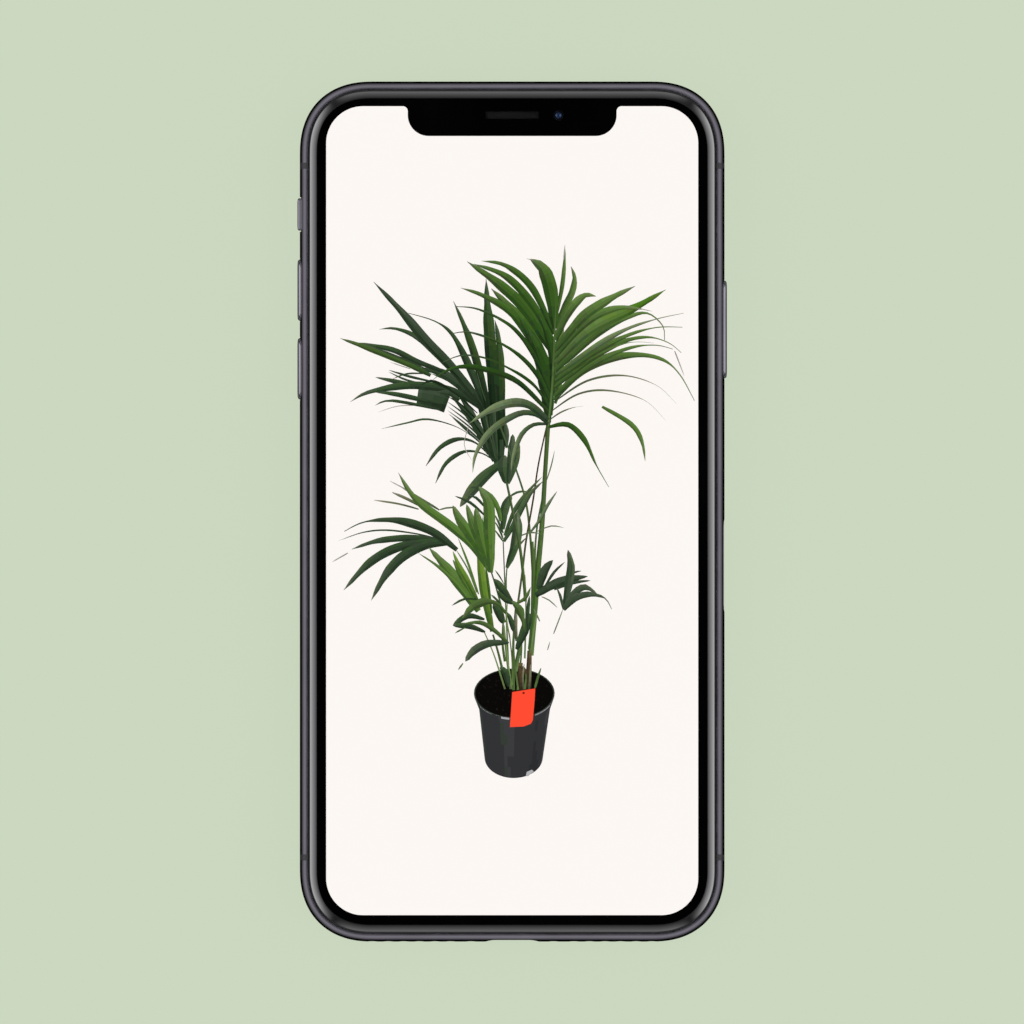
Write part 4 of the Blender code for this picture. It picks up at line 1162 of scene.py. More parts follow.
class Blend(Enum):
    """Tints of a leaf or a stem from its tip to its base, in display levels."""

    SUNLIT = ((104, 116, 82), (92, 118, 62), (86, 112, 56), (70, 98, 46), (66, 90, 46), (58, 80, 42))
    FRESH = ((100, 120, 60), (66, 110, 24), (86, 116, 50), (88, 114, 60), (78, 100, 56), (62, 86, 46))
    PALE = ((140, 144, 124), (118, 132, 96), (104, 122, 82), (84, 106, 64), (64, 88, 48))
    SHADED = ((96, 112, 70), (76, 102, 48), (60, 92, 34), (55, 87, 32), (50, 81, 30), (42, 72, 26))
    DEEP = ((60, 86, 42), (46, 76, 28), (40, 67, 25), (38, 63, 25), (42, 66, 28))
    WIRY = ((84, 94, 68), (50, 74, 36), (42, 66, 28), (36, 60, 26))
    OLIVE = ((142, 140, 122), (116, 118, 90), (92, 98, 72), (64, 72, 50))
    SAGE = ((118, 138, 98), (108, 130, 92), (102, 122, 86), (82, 98, 68), (64, 78, 50), (54, 64, 42))
    NIGHT = ((62, 76, 58), (56, 72, 52), (54, 71, 50), (48, 66, 44), (40, 58, 38))
    FOREST = ((84, 94, 72), (58, 78, 48), (50, 71, 42), (46, 65, 39), (42, 60, 36))
    FERN = ((92, 106, 76), (74, 94, 62), (64, 86, 54), (58, 78, 48), (62, 80, 52))
    SLATE = ((84, 94, 76), (70, 82, 62), (62, 76, 56), (52, 68, 46))
    TWILIGHT = ((70, 88, 58), (60, 84, 46), (50, 76, 38), (40, 64, 32), (28, 50, 26), (16, 36, 20))
    MEADOW = ((108, 126, 84), (88, 114, 56), (84, 114, 50), (82, 112, 48), (80, 106, 48))
    MOSS = ((96, 108, 74), (66, 92, 42), (64, 94, 42), (60, 88, 42), (44, 70, 37))
    CREASE = ((76, 104, 46), (68, 96, 40), (62, 90, 36), (58, 84, 34))
    DUSK = ((80, 92, 72), (62, 78, 54), (52, 70, 46), (52, 68, 45), (42, 64, 38))
    LIME = ((122, 148, 64), (104, 136, 48), (94, 128, 46), (84, 116, 42), (62, 90, 32))
    HERB = ((90, 108, 66), (74, 100, 50), (74, 99, 50), (66, 88, 44))
    GREY_GREEN = ((120, 132, 108), (96, 112, 80), (88, 108, 74), (80, 100, 66))
    PALE_STEM = ((118, 138, 86), (108, 130, 76), (112, 130, 80), (92, 106, 62))
    GREEN_STEM = ((72, 93, 54), (74, 96, 54), (80, 104, 58), (94, 118, 72))
    CANE = ((72, 88, 48), (80, 102, 58), (74, 102, 42), (84, 114, 54))
    DARK_STEM = ((72, 88, 54), (76, 92, 56), (72, 92, 50), (78, 102, 54))
    BROWN = ((66, 52, 40), (62, 56, 42), (72, 76, 48), (80, 88, 52))
    BARK = ((100, 90, 60), (78, 64, 44), (70, 54, 36), (56, 38, 28))
    GLOOM = ((44, 56, 42), (26, 40, 26), (20, 32, 20))
    TAIL = ((196, 192, 184), (160, 156, 148), (122, 120, 106))


class Cut(Enum):
    """How wide a blade is from its tip to its base, as places and shares of its widest width."""

    LEAF = ((0.0, 0.04), (0.16, 0.5), (0.36, 0.93), (0.55, 1.0), (0.8, 0.8), (1.0, 0.5))
    TAILED = ((0.0, 0.08), (0.2, 0.16), (0.36, 0.5), (0.6, 1.0), (0.8, 0.9), (1.0, 0.5))
    BROAD = ((0.0, 0.05), (0.12, 0.6), (0.3, 0.97), (0.5, 1.0), (0.78, 0.72), (1.0, 0.3))
    ARCH = ((0.0, 0.1), (0.2, 0.75), (0.4, 1.0), (0.6, 0.55), (0.75, 0.32), (1.0, 0.3))
    BLOCK = ((0.0, 0.75), (0.3, 0.95), (1.0, 1.0))
    STEM = ((0.0, 0.7), (1.0, 1.0))
    HAIR = ((0.0, 0.3), (0.3, 1.0), (0.8, 1.0), (1.0, 0.6))


class Layer:
    """Strokes of one blend and one cut, laid over the layers before it.

    A stroke is its widest width, then x and y of each point that its middle line goes through, tip first.
    """

    def __init__(self, blend: Blend, cut: Cut, *strokes: tuple[float, ...]) -> None:
        """Takes the strokes in the order in which they are laid."""
        self.blend, self.cut, self.strokes = blend, cut, strokes


def smooth_line(path: Sequence[Point2], spacing: float) -> list[Point2]:
    """A smooth curve through a path.

    Args:
        path: the points that it goes through.
        spacing: about how far apart its own points are.

    Returns:
        The curve's points.
    """
    ends = (path[0], *path, path[-1])
    points = [path[0]]
    for before, start, end, after in zip(ends, ends[1:], ends[2:], ends[3:]):
        steps = max(2, math.ceil(math.dist(start, end) / spacing))
        for i in range(1, steps + 1):
            t = i / steps
            weights = (
                -0.5 * t**3 + t**2 - 0.5 * t,
                1.5 * t**3 - 2.5 * t**2 + 1,
                -1.5 * t**3 + 2 * t**2 + 0.5 * t,
                0.5 * t**3 - 0.5 * t**2,
            )
            corners = (before, start, end, after)
            points.append(tuple(sum(w * p[k] for w, p in zip(weights, corners)) for k in (0, 1)))
    return points


def along(stops: Sequence[tuple[float, ...]], share: float) -> tuple[float, ...]:
    """The values at a share of the way along evenly spaced stops.

    Args:
        stops: two or more rows of values.
        share: 0 at the first stop, 1 at the last.

    Returns:
        The row of values there.
    """
    place = min(max(share, 0.0), 1.0) * (len(stops) - 1)
    i = min(int(place), len(stops) - 2)
    return tuple(a + (b - a) * (place - i) for a, b in zip(stops[i], stops[i + 1]))


def width_at(cut: Cut, share: float) -> float:
    """The width of a blade somewhere along it.

    Args:
        cut: how the blade is cut.
        share: the place, 0 at the tip and 1 at the base.

    Returns:
        The share of its widest width.
    """
    for (start, low), (end, high) in zip(cut.value, cut.value[1:]):
        if share <= end:
            t = (share - start) / (end - start)
            return low + (high - low) * t * t * (3 - 2 * t)
    return cut.value[-1][1]


class Canvas:
    """Painted cells that are flattened into one sheet in which nothing overlaps."""

    def __init__(self, tolerance: float = 9.0) -> None:
        """Starts empty.

        Args:
            tolerance: colours nearer to each other than this, in display levels, share an ink.
        """
        self.tolerance = tolerance
        self.points: list[Vector] = []
        self.cells: list[list[int]] = []
        self.tints: list[int] = []
        self.inks: list[Colour] = []

    def tint(self, colour: Colour) -> int:
        """Finds the ink of a colour, and mixes one where none is near enough.

        Args:
            colour: the colour in display levels.

        Returns:
            The ink's number, where 0 is the paper.
        """
        gaps = [math.dist(ink, colour) for ink in self.inks]
        if not gaps or min(gaps) > self.tolerance:
            self.inks.append(colour)
            return len(self.inks)
        return gaps.index(min(gaps)) + 1

    def paint(self, outline: Sequence[Point2], tint: int) -> None:
        """Paints a cell; a cell of next to no area is left out.

        Args:
            outline: its corners.
            tint: the number of its ink.
        """
        turned = list(zip(outline, [*outline[1:], outline[0]]))
        area = sum(a[0] * b[1] - a[1] * b[0] for a, b in turned) / 2
        if abs(area) < SLIVER:
            return
        first = len(self.points)
        self.points += [Vector(point) for point in outline]
        order = list(range(first, first + len(outline)))
        self.cells.append(order if area > 0 else order[::-1])
        self.tints.append(tint)

    def quad(self, a: Point2, b: Point2, c: Point2, d: Point2, tint: int) -> None:
        """Paints a four-sided cell as two triangles, which stay simple in a tight bend."""
        self.paint((a, b, c), tint)
        self.paint((a, c, d), tint)

    def covers(self, cell: int, x: float, y: float) -> bool:
        """Whether a cell covers a point.

        Args:
            cell: the cell's number.
            x: the point's first coordinate.
            y: its second.

        Returns:
            True where it does.
        """
        outline = [self.points[i] for i in self.cells[cell]]
        inside = False
        for a, b in zip(outline, [*outline[1:], outline[0]]):
            if (a[1] > y) != (b[1] > y) and x < a[0] + (y - a[1]) / (b[1] - a[1]) * (b[0] - a[0]):
                inside = not inside
        return inside

    def flatten(self) -> tuple[list[Vector], list[tuple[list[int], int]]]:
        """Cuts the cells where they cross and keeps the last painted tint of every part.

        Returns:
            The points, and for each triangle its corners and its tint.
        """
        points, _, faces, _, _, owners = mathutils.geometry.delaunay_2d_cdt(
            self.points, [], self.cells, 1, 1e-5, True
        )
        parts = []
        for face, cells in zip(faces, owners):
            x, y = (sum(points[i][k] for i in face) / len(face) for k in (0, 1))
            over = [cell for cell in cells if self.covers(cell, x, y)]
            if over:
                parts.append((list(face), self.tints[max(over)]))
        return points, parts


# The dark frond behind on the left.
LEFT_FROND = (
    Layer(Blend.TAIL, Cut.HAIR, (0.14, -22.3, 16.6, -19, 17.6, -15, 17.7), (0.16, -20.3, 24.9, -17, 23.8)),
    Layer(Blend.NIGHT, Cut.LEAF,
        (0.34, -10.9, 18.4, -7.6, 15.9, -4.4, 12.2), (0.3, -10.8, 17.6, -7.4, 15, -4.2, 11.6),
        (0.3, -10.8, 16.9, -7.2, 14.2, -4, 11), (0.34, -10.6, 16.3, -7, 13.4, -3.8, 10.4),
        (0.3, -10, 15.7, -6.6, 12.6, -3.6, 10), (0.9, -10.8, 20, -8.6, 17.6, -6.4, 14.4, -4, 9.6),
        (1.3, -9.4, 20.4, -7.2, 17, -5.2, 13, -3, 8.4), (1.5, -7, 24, -5.6, 20, -4.2, 14, -2.6, 8),
        (1.9, -3.4, 24, -3.2, 18, -2.2, 8), (1.6, -2, 24, -1.9, 16, -1.9, 8),
        (1, -5, 19, -4, 14, -2.4, 7.6)),
    Layer(Blend.NIGHT, Cut.BLOCK, (3.4, -15.8, 19.3, -13.2, 18.9, -10.8, 18.1)),
    Layer(Blend.FOREST, Cut.LEAF,
        (0.45, -20.6, 23.6, -17, 22.5, -13, 21.6), (0.4, -20.6, 23.3, -17.5, 21.9, -13, 20.8),
        (0.3, -20, 22.1, -17.5, 23, -14, 23), (0.85, -22.8, 22.4, -19.5, 21.7, -14, 20.4),
        (0.85, -23.2, 20, -19, 19.5, -12, 17.9), (0.55, -22.9, 17.7, -20, 18.5, -12, 17),
        (1.35, -27, 18.3, -24, 19.9, -18, 21, -13, 20.8, -9, 19.8, -4.6, 16.8),
        (0.7, -13.5, 23, -10, 21.6, -7, 19.4, -4.4, 16.6), (0.6, -11, 22.6, -8, 20.4, -4.2, 16.6),
        (0.7, -9.2, 22.8, -7, 20.2, -3.8, 16.2)),
    Layer(Blend.NIGHT, Cut.LEAF,
        (1.6, -16.4, 23.6, -12.5, 23.4, -8.4, 20.9, -4.2, 16.6),
        (0.9, -12.6, 19.9, -10.6, 19.8, -8.8, 18.6)),
    Layer(Blend.FOREST, Cut.ARCH,
        (0.35, -21.8, 13.8, -17.5, 14.8, -14, 15.4, -9, 14, -5, 11.2),
        (0.85, -14.4, 7.6, -12, 10.7, -9, 12.1, -6, 11.4, -3, 8.5),
        (0.75, -12.8, 4.7, -11, 8.1, -8, 10, -5, 9.7, -2.6, 8.2)),
    Layer(Blend.FOREST, Cut.LEAF, (0.9, -22.2, 30.4, -19.4, 30.5, -15.6, 28.9, -11, 24.6, -7, 20.4)),
    Layer(Blend.NIGHT, Cut.LEAF,
        (1.05, -17.6, 29.9, -14.4, 27.8, -10.8, 24.4, -6.8, 20),
        (1.7, -23.1, 38.3, -18.4, 33.3, -14, 28.1, -10, 24, -4.6, 17.4)),
    Layer(Blend.SLATE, Cut.LEAF, (0.3, -20.4, 35.7, -16, 31, -12.6, 27.2, -10.2, 25)),
    Layer(Blend.FOREST, Cut.TAILED, (1.3, -17.3, 33.1, -13, 31.8, -10.2, 29.8, -8, 26, -6, 21.4, -4, 16.6)),
    Layer(Blend.FOREST, Cut.LEAF, (1, -26, 28.2, -20, 27, -16, 25.1, -11, 23.2)),
    Layer(Blend.MOSS, Cut.LEAF, (1.15, -28.7, 28.9, -23, 26.9, -18, 24.9, -13.6, 22.7)),
    Layer(Blend.DUSK, Cut.LEAF, (0.35, -25, 28.1, -21, 26.6, -17, 25, -13.4, 23.3)),
    Layer(Blend.TWILIGHT, Cut.LEAF,
        (1.35, -9.8, 35.1, -8, 31, -6.4, 26.6, -4.6, 20, -4, 16),
        (1.6, -2.9, 32, -2.2, 28, -1.95, 21, -1.9, 12),
        (2.0, -4.35, 38.8, -4.15, 34.6, -3.8, 30, -3.5, 25, -3.1, 17)),
    Layer(Blend.GLOOM, Cut.LEAF,
        (0.5, -15.4, 21, -13.6, 21.8, -11.4, 21, -9.4, 19.6), (0.3, -13.4, 21.4, -10, 20.1, -5.8, 16.4),
        (0.3, -11.6, 19.6, -8.6, 17.9, -5.2, 14.6), (0.3, -9.6, 18.4, -7, 15.6, -4.6, 12.2),
        (0.26, -6.6, 20.8, -5.3, 16.2, -3.9, 11.4), (0.36, -2.75, 21, -2.5, 15.6, -2.2, 10),
        (0.36, -1.5, 21, -1.4, 15.6, -1.3, 10.4), (0.26, -16.4, 30.4, -12.6, 26, -8.6, 22),
        (0.26, -4.9, 22, -4.2, 17, -3.3, 11)),
    Layer(Blend.FERN, Cut.HAIR,
        (0.14, -5.9, 23.4, -5.2, 20.8, -4.4, 18.4), (0.12, -3, 17.6, -2.6, 13.4, -2.4, 9.4),
        (0.12, -4.4, 15.6, -3.6, 12.4, -2.8, 9)),
)
# The left half of the big frond, which arches over the dark one.
BIG_FROND_LEFT = (
    Layer(Blend.WIRY, Cut.HAIR,
        (0.42, -9.3, 34.2, -5.5, 33.7, 0, 30.9, 3, 27.3, 6.5, 21.5),
        (0.42, -10, 29.7, -7, 29.9, -2, 28.1, 2.5, 25, 6.4, 19.5),
        (0.32, -11.6, 24.9, -8, 26.1, -3, 25.1, 2.5, 21.9, 6.2, 18.3)),
    Layer(Blend.SHADED, Cut.LEAF,
        (2.1, -3.5, 37.2, 0, 33.6, 3.4, 29, 6.7, 22.5),
        (1.3, -8.6, 37.3, -5, 36.1, -0.5, 33.5, 3.2, 29.1, 6.7, 23)),
    Layer(Blend.DEEP, Cut.LEAF,
        (2.2, 1.2, 32.4, 3.2, 29, 5, 25, 6.4, 19), (2.6, 2.6, 30.5, 4.4, 26.5, 5.6, 22.5, 6.1, 16),
        (1.5, 4, 25, 5, 21.5, 5.8, 18.5, 6.1, 14.8), (0.75, -3.6, 32.9, 0.4, 30.4, 3.4, 26.4, 6.4, 20),
        (0.75, -2.6, 28.4, 1, 26.2, 4, 23, 6.3, 18.4), (0.5, -2, 24.7, 1.5, 22.8, 4, 20.7, 6.2, 17.4),
        (1, -13.2, 22, -11, 23.5, -8, 24.2, -4, 23.6, 1, 21.6, 6.1, 16.6)),
    Layer(Blend.SHADED, Cut.LEAF,
        (1.9, -7.5, 41.7, -2, 37.8, 2.5, 33.4, 6.8, 26.4), (1.4, -6.4, 41.3, -1, 39.2, 3.5, 34.4, 7, 28),
        (1.2, -5.1, 41.8, -1, 41, 3.4, 37.2, 7, 29.6)),
    Layer(Blend.DEEP, Cut.LEAF, (1.2, 4.4, 33, 5.8, 29.5, 6.7, 25.5, 6.7, 19.5)),
)
# The long stems between the fronds and the pot.
MIDDLE_STEMS = (
    Layer(Blend.FERN, Cut.BROAD,
        (1.9, -8.7, 0.8, -7, 3.2, -4.6, 5.9, -2, 7.8, 0.2, 8.2), (2.3, -1.2, 9.4, -1.3, 7.4, -0.9, 4.7),
        (1, 1.1, 11.6, 0.8, 9, 0, 6.2, -0.6, 4.6)),
    Layer(Blend.SLATE, Cut.BROAD,
        (1.3, 0.1, 12.9, 0, 11, -0.3, 8, -0.7, 4.7), (0.85, -1.2, 15, -0.9, 12.8, -1, 10.6)),
    Layer(Blend.DARK_STEM, Cut.STEM,
        (0.4, -2, 14.3, 0.3, 8, 2.2, 2, 3, -4, 3.4, -10), (0.4, 5, 2, 4.2, -2.2, 3.8, -7, 3.7, -15),
        (0.28, -1.5, -5, -1.3, -10, -1.1, -15, -0.6, -26)),
    Layer(Blend.BROWN, Cut.STEM, (0.36, 5.7, 14, 4.4, 8, 3.5, 2, 2.3, -5, 1.7, -10, 1, -15)),
    Layer(Blend.GREEN_STEM, Cut.STEM,
        (0.8, 3.3, -5, 3.5, -10, 3.4, -18, 3, -23), (0.3, 2.1, -10.6, 2.3, -16, 2.1, -24.5)),
    Layer(Blend.CANE, Cut.STEM, (0.95, 6, 15, 5.5, 7, 4.95, -2, 4.3, -9, 3.9, -15, 3.1, -24)),
    Layer(Blend.GREEN_STEM, Cut.STEM, (0.26, 6.3, 15, 5.8, 7, 5.3, -2, 4.7, -9, 4.2, -15, 3.4, -23.4)),
)
# The small frond that opens as a V in the middle.
CENTRE_LEAVES = (
    Layer(Blend.FERN, Cut.LEAF,
        (0.35, -3, -2.9, -2.2, -4, -1.5, -5), (0.38, -3.1, -1.4, -2.2, -2.8, -1.5, -4.6),
        (0.42, -3.1, -0.2, -2.3, -1.7, -1.5, -3.6), (0.75, 5, 5.8, 2.6, 3.3, 0.4, 0.2, -1.3, -4),
        (1, 5.2, 5.1, 3, 3, 1.4, 0.2, 0, -2.6, -1.4, -5), (0.4, 2.5, -4.2, 1, -5.8, -0.4, -8),
        (0.4, 2.6, 3.4, 0.8, 3.2, -0.8, 2.2)),
    Layer(Blend.FERN, Cut.BROAD, (1.5, -0.1, 2.8, -1, 1.2, -1.4, -0.6, -1.5, -3)),
    Layer(Blend.GREY_GREEN, Cut.LEAF,
        (0.6, 7.5, 3.4, 5.8, 0.9, 4.6, -1.4, 3, -3.5), (0.22, 7.1, 10.3, 6.5, 7.6, 5.6, 4.8),
        (0.22, 8.7, -2.7, 6.5, -2.4, 4.2, -3.3), (0.28, 4.8, -3.7, 3, -3.5, 1.3, -4.1)),
    Layer(Blend.FERN, Cut.BROAD, (1.7, 0.8, 0, 0.9, -3, 0.3, -6.2, -0.9, -9.4)),
    Layer(Blend.GREY_GREEN, Cut.LEAF, (0.7, 0.9, -0.6, 0.9, -3.2, 0.5, -5.6)),
    Layer(Blend.DARK_STEM, Cut.STEM,
        (0.28, -0.8, -8.8, -1, -11, -1, -13.4), (0.55, -0.9, 4.8, 0.3, -1, 1.3, -6, 2, -12, 2.2, -15)),
)
# The bright fan in the middle left and the frond that arches out below it.
LOWER_FROND = (
    Layer(Blend.DUSK, Cut.LEAF,
        (0.5, -9.6, 2.6, -7, 1.5, -4.4, -0.8), (0.5, -7.4, 2.7, -6, 2.3, -4.4, 0.6),
        (0.35, -7.4, 3.9, -6, 4, -4.8, 2.8), (0.3, -29, -4.9, -25, -3.5, -21, -3.1, -16, -3.7, -12, -4.6),
        (1.15, -26.8, -6.3, -22.5, -4.9, -17, -4.4, -12, -4.9, -9.6, -5.9),
        (1.55, -28.1, -13.1, -23.6, -8.4, -18.5, -5.8, -12, -4.9),
        (1.7, -23.5, -14.8, -21, -10.4, -18, -7.3, -14, -5.5, -10.4, -5.2)),
    Layer(Blend.DUSK, Cut.TAILED, (1.5, -28, -3.3, -24.5, -1.7, -19, -1.5, -13.4, -3.3, -9.2, -6.4)),
    Layer(Blend.TAIL, Cut.HAIR, (0.22, -30, -8.4, -27.4, -6.9), (0.2, -20.4, 5.1, -17.5, 3.6)),
    Layer(Blend.OLIVE, Cut.HAIR,
        (0.5, -20, 3.2, -17.5, 2.1, -14, 0.3), (0.32, -23, 1.9, -19, 1.3, -15.6, 0.4),
        (0.4, -18.4, 4, -15, 2, -12.2, 0.3)),
    Layer(Blend.GREY_GREEN, Cut.HAIR,
        (0.28, -12.4, 0.2, -11, 0.6, -9.4, 0.7), (0.26, -9.4, -6.3, -7.4, -9.6, -5.9, -13.5)),
    Layer(Blend.MEADOW, Cut.LEAF,
        (1.9, -13.9, -6, -11, -9.3, -8.4, -12.6, -5.6, -16.6), (1, -9.9, -8, -8.2, -11.2, -6, -15),
        (0.6, -15.7, -6.9, -12.3, -9.2, -9.4, -12, -6.4, -15.8), (0.4, -9.1, -4.2, -7.4, -8.5, -5.6, -13.8),
        (0.35, -10.4, -9.8, -8.2, -12.4, -6, -15.4)),
    Layer(Blend.LIME, Cut.LEAF,
        (1, -9.9, -6.6, -8.8, -9.2, -7.4, -11.6, -5.8, -14.8),
        (1.45, -5.9, -5, -5.2, -9.5, -4.6, -14, -3.3, -20)),
    Layer(Blend.MEADOW, Cut.LEAF,
        (0.9, -5.5, 4.2, -3.6, 2.6, -2.4, 0.6, -1.9, -1.6),
        (1.5, -19, 6.5, -16, 2, -10, -2.6, -6.4, -6, -3.6, -10)),
    Layer(Blend.MEADOW, Cut.BROAD,
        (1.7, -9.9, 1, -8.6, -1.6, -6.4, -4.8, -4, -9), (1.5, -7.6, 1.2, -6.6, -2, -5, -6, -3.8, -9.4),
        (1.7, -6.1, 0.6, -5.4, -3, -4.5, -6.4, -3.6, -9.8),
        (2, -5.6, 4.1, -4, 1.4, -3.8, -3, -3.6, -7, -3.5, -10.2)),
    Layer(Blend.CREASE, Cut.LEAF,
        (0.28, -9.4, -0.6, -7.6, -3.2, -5.4, -6.6), (0.26, -6.9, -1, -6, -3.6, -4.8, -7),
        (0.26, -5, -0.6, -4.6, -4, -4, -8), (0.45, -4.6, -8, -4, -12, -3.4, -17)),
)
# The small dark frond on the right.
SMALL_FROND = (
    Layer(Blend.GREY_GREEN, Cut.HAIR,
        (0.2, 8.5, -16.2, 7.9, -17.8, 6.9, -20.4), (0.18, 6.3, -21.7, 5.9, -23.1),
        (0.26, 3.6, -16.2, 4.6, -18.3), (0.2, 7.5, -16, 6.2, -14.8, 4.9, -14.2)),
    Layer(Blend.NIGHT, Cut.LEAF,
        (0.5, 8.8, -8.4, 7, -10.1, 5.4, -12.6), (1.5, 6.8, -8.1, 5.4, -9.8, 4.4, -13),
        (0.45, 11.6, -9.9, 10.2, -10.2, 8.6, -11.4), (0.6, 13.1, -11.5, 10, -11.9, 7, -13),
        (1.6, 12.6, -10.8, 9.4, -11.3, 6.6, -12.3, 3.9, -14), (1.1, 9, -11.4, 6.6, -12.4, 3.9, -14)),
    Layer(Blend.SLATE, Cut.BROAD, (1.45, 9.3, -6.4, 9.8, -9, 9.5, -11.6, 8.7, -16.2)),
    Layer(Blend.FERN, Cut.LEAF, (0.5, 9.6, -7.2, 10, -9, 9.8, -11)),
    Layer(Blend.SLATE, Cut.LEAF,
        (0.5, 7.3, -12.5, 8, -14, 8.5, -16.2), (1.2, 14.2, -13.8, 12.2, -12.6, 10.4, -13.6, 8.6, -16.4),
        (0.9, 12.2, -13.8, 10.8, -14, 8.6, -16.4)),
    Layer(Blend.SLATE, Cut.TAILED, (1.1, 16.6, -16.3, 15.4, -14.4, 12.6, -13.8, 10.4, -14.6, 8.6, -16.4)),
)
# The right half of the big frond, with its middle rib.
BIG_FROND_RIGHT = (
    Layer(Blend.OLIVE, Cut.TAILED,
        (0.38, 27.4, 18, 24, 21.1, 18.5, 22.7, 12.5, 21.8, 7, 18.3),
        (0.35, 25.6, 15.2, 22, 18.6, 16, 20.2, 11, 19.6, 6.6, 16.8),
        (0.28, 11.9, 17.6, 10, 17.3, 8, 16.5, 6.4, 15.4)),
    Layer(Blend.SUNLIT, Cut.LEAF,
        (1.3, 8.6, 33, 8.1, 29.5, 7.5, 26, 7.1, 22), (1.2, 9, 28.5, 8.4, 26, 7.8, 23, 7.1, 19.5),
        (0.8, 8.6, 23.6, 8, 21.5, 7.2, 18)),
    Layer(Blend.SUNLIT, Cut.TAILED,
        (1.35, 30.4, 18.5, 28, 22.8, 25.2, 25.3, 21, 26.15, 16, 25.4, 11, 22.9, 7, 18.6),
        (1.2, 26.8, 27.1, 24, 27.75, 20, 27.4, 15, 25.5, 11, 22.9, 7, 19.2),
        (1.15, 28.2, 26.5, 26, 28.2, 22.5, 29.1, 18, 28.2, 13, 25.4, 7.1, 20.8),
        (0.5, 23.6, 28.1, 21, 28.3, 18, 27.8, 13, 25.4, 9, 23),
        (1.2, 28.4, 30.75, 24, 30.7, 19, 29.3, 13, 26.2, 7.2, 21.8)),
    Layer(Blend.PALE, Cut.TAILED, (1.0, 28.6, 33.1, 24, 32.1, 19, 30.4, 14, 27.6, 7.3, 22.8)),
    Layer(Blend.SUNLIT, Cut.TAILED, (1.5, 25.4, 28.6, 25.1, 31, 22.5, 33.1, 19, 32.3, 14, 29.7, 7.2, 23.6)),
    Layer(Blend.FRESH, Cut.LEAF, (1.75, 25.6, 37, 20.6, 34.1, 14, 31, 10.5, 28.3, 7.3, 24.8)),
    Layer(Blend.SUNLIT, Cut.LEAF,
        (1.35, 22.2, 33.7, 17.8, 34, 13.5, 32.4, 10, 29.3, 7.2, 25.8),
        (1.7, 20.5, 37.6, 16.5, 35.6, 12.5, 33.1, 10, 30.5, 7.2, 27),
        (1.5, 14, 35.9, 12.2, 36.1, 10.4, 34.6, 8.8, 32.3, 7.2, 28.6),
        (1.15, 9.8, 40.9, 10.4, 39, 10, 36.6, 8.8, 34.2, 7.2, 30.6),
        (0.75, 8.8, 44.3, 8.65, 40.5, 8.2, 36.8, 7.2, 32)),
    Layer(Blend.SHADED, Cut.BROAD, (2.4, 3, 42.1, 5, 40.7, 6.1, 38.2, 6.7, 35, 7.1, 30.5)),
    Layer(Blend.TAIL, Cut.HAIR,
        (0.16, 2.4, 42.2, 3.5, 41.9), (0.2, 8.8, 44.5, 8.6, 42), (0.2, 28.7, 22.6, 27.1, 26.8),
        (0.14, 23.4, 33.4, 21, 33.9)),
    Layer(Blend.GREEN_STEM, Cut.HAIR, (0.34, 7.3, 35, 7.1, 30, 6.9, 25, 6.6, 20, 6, 14.2)),
)
# The lowest leaves of the big frond, which droop in front of the stems.
DROOPING_LEAVES = (
    Layer(Blend.MEADOW, Cut.LEAF, (0.85, 22.2, 8.4, 21.6, 11.8, 19.8, 14.6, 15, 17.5)),
    Layer(Blend.SHADED, Cut.TAILED, (1, 16.1, 4.1, 14, 7.8, 12, 12, 9.3, 14.5, 6.1, 14.1)),
    Layer(Blend.SAGE, Cut.LEAF,
        (0.8, -0.2, 6.8, 0.3, 9.6, 1.6, 12.9, 3.6, 14.5, 6, 14.6),
        (1.15, -6.6, 6.5, -6, 9.8, -3.4, 13.6, 1, 16.3, 4, 16.2, 6, 14.6),
        (1.55, -7, 14.8, -3.6, 17, 0, 18.15, 3, 17.7, 6, 15.2)),
    Layer(Blend.TAIL, Cut.HAIR, (0.13, -6.7, 8.5, -8, 11.2, -7, 15)),
)
